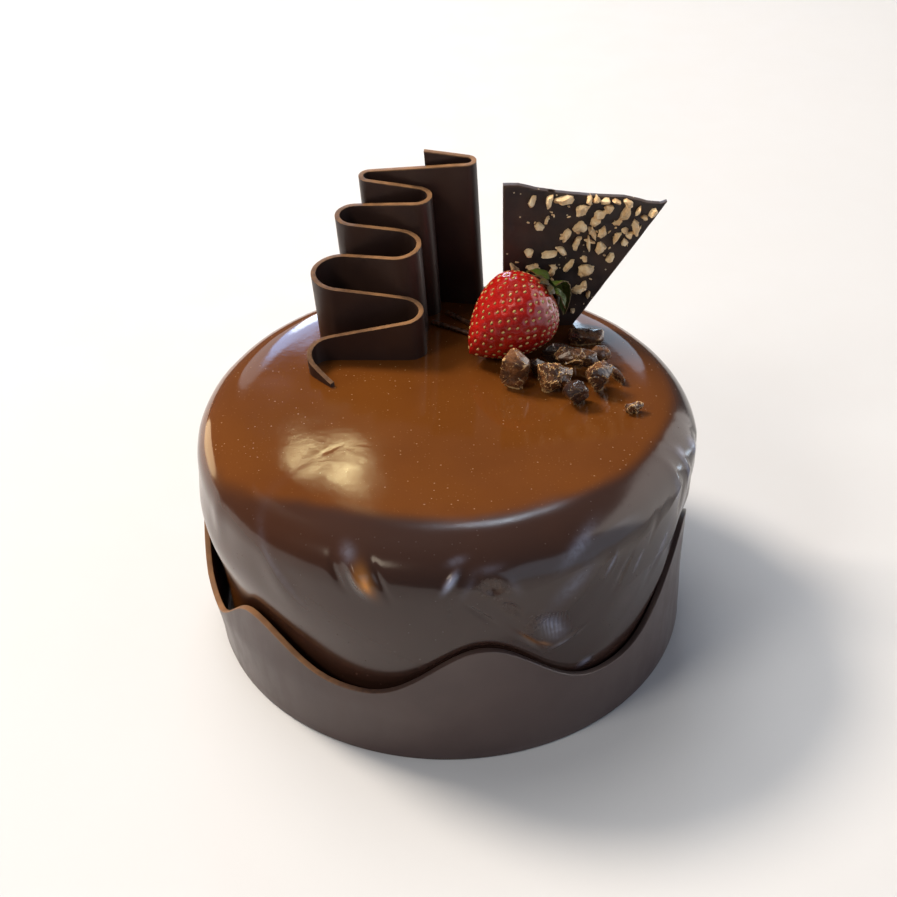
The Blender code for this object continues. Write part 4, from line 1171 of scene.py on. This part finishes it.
def make_leaf(name, start, bend, tip, across, width, cup, withered=0.0):
    """A thin wavy leaf along a curve, with a toothed rim. Its values mark its rim and veins, and how dry it is."""
    start, bend, tip, across = (Vector(point) for point in (start, bend, tip, across))
    bm = bmesh.new()
    bmesh.ops.create_grid(bm, x_segments=44, y_segments=18, size=0.5)
    edge_layer = bm.verts.layers.float.new("edge")
    vein_layer = bm.verts.layers.float.new("vein")
    dry_layer = bm.verts.layers.float.new("dry")
    for corner in bm.verts:
        corner[dry_layer] = withered
        along = corner.co.x + 0.5
        side = corner.co.y * 2.0
        middle = start * (1.0 - along) ** 2 + bend * 2.0 * along * (1.0 - along) + tip * along**2
        heading = ((bend - start) * (1.0 - along) + (tip - bend) * along).normalized()
        sideways = (across - heading * across.dot(heading)).normalized()
        half = width / 2 * max(math.sin(math.pi * (0.14 + 0.84 * along)), 0.06) ** 0.8
        half *= 1.0 + 0.10 * (abs((along * 9.0) % 1.0 - 0.5) * 2.0 - 0.5) * ease(abs(side))
        out = cup * side**2 + 0.3 * math.sin(9.0 * along + 2.0 * side) - 0.22 * bell(side, 0.10)
        branch = bell(((along * 8.0 - abs(side) * 1.3) % 1.0) - 0.5, 0.10)
        corner[vein_layer] = min(1.0, bell(side, 0.07) + 0.5 * branch * (1.0 - abs(side)))
        corner[edge_layer] = ease((abs(side) - 0.82) / 0.18) * 0.6 + ease((along - 0.88) / 0.12) * 0.5
        corner.co = (middle + sideways * side * half + heading.cross(sideways) * (out - 0.10 * branch)) * MM
    bmesh.ops.recalc_face_normals(bm, faces=bm.faces)
    return mesh_from(bm, name)


def calyx_leaves():
    """Short leaves round the berry's end that lie against its shoulder: shapes as in BERRY_LEAVES."""
    turned_way = berry_matrix().to_3x3()
    axis = turned_way @ Vector((0.0, 0.0, 1.0))
    end = BERRY_MIDDLE / MM + axis * 17.0
    shapes = []
    for number in range(7):
        angle = math.tau * number / 7 + 0.35 * math.sin(number * 2.3)
        outwards = turned_way @ Vector((math.cos(angle), math.sin(angle), 0.0))
        reach = 8.2 + 1.2 * math.sin(number * 1.7)
        bend = end + outwards * reach * 0.72 + axis * 0.9
        tip = end + outwards * reach - axis * (1.9 + 0.5 * math.sin(number * 3.1))
        shapes.append((end + outwards * 0.4 + axis * 0.3, bend, tip, outwards.cross(axis), 3.8, 0.35))
    return shapes


def make_broken_chunk(name, settings, crumbly):
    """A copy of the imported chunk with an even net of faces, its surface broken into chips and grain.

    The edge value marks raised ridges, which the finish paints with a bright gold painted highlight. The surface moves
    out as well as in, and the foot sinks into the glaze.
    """
    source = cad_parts[name]
    bm = bmesh.new()
    bm.from_mesh(source.data)
    bmesh.ops.remove_doubles(bm, verts=bm.verts, dist=0.001 * MM)
    core = bpy.data.objects.new(name + "_core", mesh_from(bm, name + "_core"))
    bpy.context.scene.collection.objects.link(core)
    net = core.modifiers.new("Net", "REMESH")
    net.mode = "VOXEL"
    net.voxel_size = settings.grain
    bpy.context.view_layer.update()
    data = bpy.data.meshes.new_from_object(core.evaluated_get(bpy.context.evaluated_depsgraph_get()))
    bpy.data.objects.remove(core, do_unlink=True)
    bm = bmesh.new()
    bm.from_mesh(data)
    bpy.data.meshes.remove(data)
    edge_layer = bm.verts.layers.float.new("edge")
    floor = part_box(name)[0].z
    shift = Vector((sum(map(ord, name)) * 0.37, 0.0, 0.0))
    before = {corner: corner.co.copy() for corner in bm.verts}
    for _ in range(2):
        bmesh.ops.smooth_vert(bm, verts=bm.verts, factor=0.5, use_axis_x=True, use_axis_y=True, use_axis_z=True)
    bm.normal_update()
    moves = []
    for corner in bm.verts:
        rounded = (before[corner] - corner.co).length / settings.grain
        move = 0.30
        for scale, depth in ((170.0, 0.70), (340.0, 0.12 + 0.52 * crumbly), (800.0, 0.26 * crumbly)):
            spot = corner.co * scale + shift
            middles = noise.voronoi(spot)[1]
            slant = noise.cell_vector(middles[0] * 9.7) - Vector((0.5, 0.5, 0.5))
            move += depth * (1.2 * slant.dot(spot - middles[0]) + 0.5 * slant.x - 0.25)
        move += 0.06 * noise.noise(corner.co * 1300.0 + shift)
        corner[edge_layer] = 0.7 * rounded
        moves.append(settings.crag * min(move, 0.42))
    for corner, move in zip(bm.verts, moves):
        corner.co += corner.normal * move
        if corner.co.z < floor + 0.5 * MM:
            corner.co.z = min(corner.co.z, floor + 0.5 * MM) - GAP - SINK - 0.5 * MM
    bmesh.ops.recalc_face_normals(bm, faces=bm.faces)
    bm.normal_update()
    for corner in bm.verts:
        around = [edge.other_vert(corner).co for edge in corner.link_edges]
        bulge = (corner.co - sum(around, Vector()) / len(around)).dot(corner.normal) / settings.grain
        # Raised corners get a higher edge value, which the finish paints as a gold painted highlight
        corner[edge_layer] = min(1.0, corner[edge_layer] + max(0.0, 3.4 * bulge - 0.22))
    return mesh_from(bm, name + "_broken")


def add_paleness(data, paleness):
    """Gives a mesh the even value that says how pale its broken faces are."""
    pale = data.attributes.new("pale", "FLOAT", "POINT")
    pale.data.foreach_set("value", [paleness] * len(data.vertices))


def make_stick(name, start, end, radius, height):
    """A thin stick, thinned a little along its length."""
    start, end = Vector(start), Vector(end)
    between = end - start
    bm = bmesh.new()
    bmesh.ops.create_circle(bm, cap_ends=True, segments=20, radius=radius)
    top = next(iter(bm.faces))
    steps = 26
    for _ in range(steps):
        raised = bmesh.ops.extrude_face_region(bm, geom=[top])["geom"]
        top = next(part for part in raised if isinstance(part, bmesh.types.BMFace))
        bmesh.ops.translate(bm, vec=(0.0, 0.0, between.length / steps), verts=list(top.verts))
    for corner in bm.verts:
        part = corner.co.z / between.length
        waist = 1.0 - 0.22 * part + 0.06 * noise.noise(corner.co * 320.0)
        corner.co.x *= waist
        corner.co.y *= waist * 0.96
    upright = Matrix.Rotation(math.atan2(between.y, between.x), 4, "Z") @ Matrix.Rotation(math.pi / 2, 4, "Y")
    place = Matrix.Translation((start.x, start.y, height))
    bmesh.ops.transform(bm, matrix=place @ upright, verts=bm.verts)
    bmesh.ops.recalc_face_normals(bm, faces=bm.faces)
    return mesh_from(bm, name + "_bent")


class CakeStep:
    """What the operators share"""

    bl_options = {"REGISTER", "UNDO"}


class CAKE_OT_glazed_cake(CakeStep, bpy.types.Operator):
    """Make the glazed cake, with its drips and finger marks"""

    bl_idname = "cake.glazed_cake"
    bl_label = "Glazed Cake"

    def execute(self, context):
        cake = context.scene.chocolate_cake
        data = make_glazed_cake(cake.glaze, cake.band)
        add_piece("glazed_cake", data, glaze_finish(cake.glaze), "glaze", "cake_body")
        return {"FINISHED"}


class CAKE_OT_wavy_band(CakeStep, bpy.types.Operator):
    """Make the wavy chocolate band round the foot"""

    bl_idname = "cake.wavy_band"
    bl_label = "Wavy Band"

    def execute(self, context):
        band = context.scene.chocolate_cake.band
        finish = edged_finish("band_chocolate", band, 34.0, 0.35, 0.012 * MM)
        piece = add_piece("wavy_band", make_wavy_band(band), finish, "dark_chocolate", "chocolate_band", sharp=50.0)
        add_wall(piece, band.thickness - 0.1 * MM, -1.0, 0.42 * MM)
        return {"FINISHED"}


class CAKE_OT_folded_ribbon(CakeStep, bpy.types.Operator):
    """Make the folded chocolate ribbon that stands on the cake"""

    bl_idname = "cake.folded_ribbon"
    bl_label = "Folded Ribbon"

    def execute(self, context):
        cake = context.scene.chocolate_cake
        finish = edged_finish("ribbon_chocolate", cake.ribbon, 45.0, 0.25, 0.016 * MM)
        data = make_folded_ribbon(cake.ribbon, cake.glaze)
        piece = add_piece("folded_ribbon", data, finish, "dark_chocolate", "chocolate_ribbon", sharp=50.0)
        add_wall(piece, cake.ribbon.thickness, 0.0, 0.3 * MM)
        return {"FINISHED"}


class CAKE_OT_nut_shard(CakeStep, bpy.types.Operator):
    """Make the chocolate shard and the chopped nuts on its front"""

    bl_idname = "cake.nut_shard"
    bl_label = "Nut Shard"

    def execute(self, context):
        shard = context.scene.chocolate_cake.shard
        finish = shard_finish(shard)
        plate = add_piece("shard_plate", make_shard_plate(shard), finish, "nut_shard", "nut_shard", sharp=50.0)
        add_wall(plate, shard.thickness, 0.0, 0.25 * MM, even=False)
        add_piece("shard_nuts", make_shard_nuts(shard), nut_finish(shard), "nut_shard", sharp=42.0)
        return {"FINISHED"}


class CAKE_OT_strawberry(CakeStep, bpy.types.Operator):
    """Make the strawberry, its seeds and its leaves"""

    bl_idname = "cake.strawberry"
    bl_label = "Strawberry"

    def execute(self, context):
        berry = context.scene.chocolate_cake.berry
        seeds = seed_places(berry)
        add_piece("strawberry_flesh", make_berry_flesh(berry, seeds), berry_finish(berry), "strawberry", "strawberry")
        add_piece("strawberry_seeds", make_berry_seeds(berry, seeds), seed_finish(berry), "strawberry")
        leaf = leaf_finish(berry)
        for name, shape in BERRY_LEAVES.items():
            piece = add_piece(name + "_blade", make_leaf(name + "_blade", *shape), leaf, "leaf", name)
            add_wall(piece, 0.36 * MM, 0.0, 0.08 * MM, even=False)
        for number, shape in enumerate(calyx_leaves(), 1):
            name = f"berry_calyx_{number}"
            piece = add_piece(name, make_leaf(name, *shape, withered=1.0), leaf, "leaf")
            add_wall(piece, 0.36 * MM, 0.0, 0.08 * MM, even=False)
        return {"FINISHED"}


class CAKE_OT_chopped_chocolate(CakeStep, bpy.types.Operator):
    """Make the heap of chopped chocolate and the thin sticks"""

    bl_idname = "cake.chopped_chocolate"
    bl_label = "Chopped Chocolate"

    def execute(self, context):
        cake = context.scene.chocolate_cake
        finish = chunk_finish(cake.chunks)
        for name, (crumbly, paleness) in CHUNK_LOOKS.items():
            data = make_broken_chunk(name, cake.chunks, crumbly)
            add_paleness(data, paleness)
            add_piece(name + "_broken", data, finish, "chopped_chocolate", name, sharp=32.0)
        for name, (start, end) in STICKS.items():
            radius = cake.chunks.stick_radius
            data = make_stick(name, start, end, radius, cake.glaze.height + radius)
            add_paleness(data, STICK_PALENESS)
            add_piece(name + "_bent", data, finish, "dark_chocolate", name, sharp=50.0)
        return {"FINISHED"}


def soft_light(stage, row, shape):
    """A soft area light from a row of LIGHTS. Its brightness is that of its face."""
    name, around, up, distance, width, height, source, part, tint, turn, use = row
    around, up = math.radians(around), math.radians(up)
    way = Vector((math.sin(around) * math.cos(up), math.cos(around) * math.cos(up), math.sin(up)))
    data = bpy.data.lights.new(name, "AREA")
    data.shape = shape
    data.size, data.size_y = width, height
    radiance = getattr(stage, source) * part
    data.energy = radiance * math.pi * width * height * (math.pi / 4 if shape == "ELLIPSE" else 1.0)
    data.color = tint
    light = bpy.data.objects.new(name, data)
    facing = way.to_track_quat("Z", "Y").to_matrix().to_4x4() @ Matrix.Rotation(math.radians(turn), 4, "Z")
    light.matrix_world = Matrix.Translation(LIGHT_AIM + way * distance) @ facing
    light.visible_camera = False
    light.visible_diffuse = use != "mirrors"
    light.visible_glossy = use != "lights"
    bpy.context.scene.collection.objects.link(light)


def add_camera(stage):
    """The camera at the photograph's angle, from its pitch, roll and distance."""
    looking = Vector((0.0, math.cos(stage.pitch), -math.sin(stage.pitch)))
    level = Vector((1.0, 0.0, 0.0))
    upwards = level.cross(looking)
    right = math.cos(stage.roll) * level + math.sin(stage.roll) * upwards
    up = math.cos(stage.roll) * upwards - math.sin(stage.roll) * level
    data = bpy.data.cameras.new("photo_view")
    data.lens = stage.lens
    data.sensor_width = 36.0
    data.clip_start = 0.01
    data.clip_end = 20.0
    camera = bpy.data.objects.new("photo_view", data)
    turned_way = Matrix((right, up, -looking)).transposed().to_4x4()
    camera.matrix_world = Matrix.Translation(CAMERA_AIM - looking * stage.reach) @ turned_way
    bpy.context.scene.collection.objects.link(camera)
    bpy.context.scene.camera = camera


def add_room(stage):
    """Dim light from all round. The camera alone sees the paler backdrop."""
    world = bpy.data.worlds.new("studio")
    world.use_nodes = True
    bpy.context.scene.world = world
    nodes = Nodes(world.node_tree)
    seen = nodes.add("ShaderNodeLightPath").outputs["Is Camera Ray"]
    nodes.feed(nodes.mix(seen, stage.room, stage.backdrop), nodes.tree.nodes["Background"].inputs["Color"])


class CAKE_OT_stage(CakeStep, bpy.types.Operator):
    """Set up the floor, the lights and the camera"""

    bl_idname = "cake.stage"
    bl_label = "Stage"

    def execute(self, context):
        stage = context.scene.chocolate_cake.stage
        bm = bmesh.new()
        bmesh.ops.create_grid(bm, x_segments=1, y_segments=1, size=FLOOR_HALF)
        bmesh.ops.translate(bm, vec=(0.0, 0.0, -FLOOR_DROP), verts=bm.verts)
        floor = bpy.data.objects.new("floor", mesh_from(bm, "floor"))
        floor.data.materials.append(floor_finish(stage))
        context.scene.collection.objects.link(floor)
        for shape, rows in (("ELLIPSE", LIGHTS), ("RECTANGLE", CARDS)):
            for row in rows:
                soft_light(stage, row, shape)
        add_room(stage)
        add_camera(stage)
        context.scene.view_settings.view_transform = "Standard"
        return {"FINISHED"}


class CAKE_PT_panel(bpy.types.Panel):
    """The cake's pieces, in the order in which they are made"""

    bl_label = "Glazed Chocolate Cake"
    bl_idname = "CAKE_PT_panel"
    bl_space_type = "VIEW_3D"
    bl_region_type = "UI"
    bl_category = "Cake"

    def draw(self, context):
        for operator in OPERATORS:
            self.layout.operator(operator.bl_idname)


SETTINGS = (
    GlazeSettings, BandSettings, RibbonSettings, ShardSettings, BerrySettings, ChunkSettings, StageSettings,
    CakeSettings,
)
OPERATORS = (
    CAKE_OT_glazed_cake,
    CAKE_OT_wavy_band,
    CAKE_OT_folded_ribbon,
    CAKE_OT_nut_shard,
    CAKE_OT_strawberry,
    CAKE_OT_chopped_chocolate,
    CAKE_OT_stage,
)


def register():
    for made in (*SETTINGS, *OPERATORS, CAKE_PT_panel):
        bpy.utils.register_class(made)
    bpy.types.Scene.chocolate_cake = PointerProperty(
        type=CakeSettings, name="Chocolate Cake", description="Sizes and colours of the glazed chocolate cake"
    )


def unregister():
    del bpy.types.Scene.chocolate_cake
    for made in reversed((*SETTINGS, *OPERATORS, CAKE_PT_panel)):
        bpy.utils.unregister_class(made)


def main():
    register()
    bpy.ops.cake.glazed_cake()
    bpy.ops.cake.wavy_band()
    bpy.ops.cake.folded_ribbon()
    bpy.ops.cake.nut_shard()
    bpy.ops.cake.strawberry()
    bpy.ops.cake.chopped_chocolate()
    bpy.ops.cake.stage()


if __name__ == "__main__":
    main()
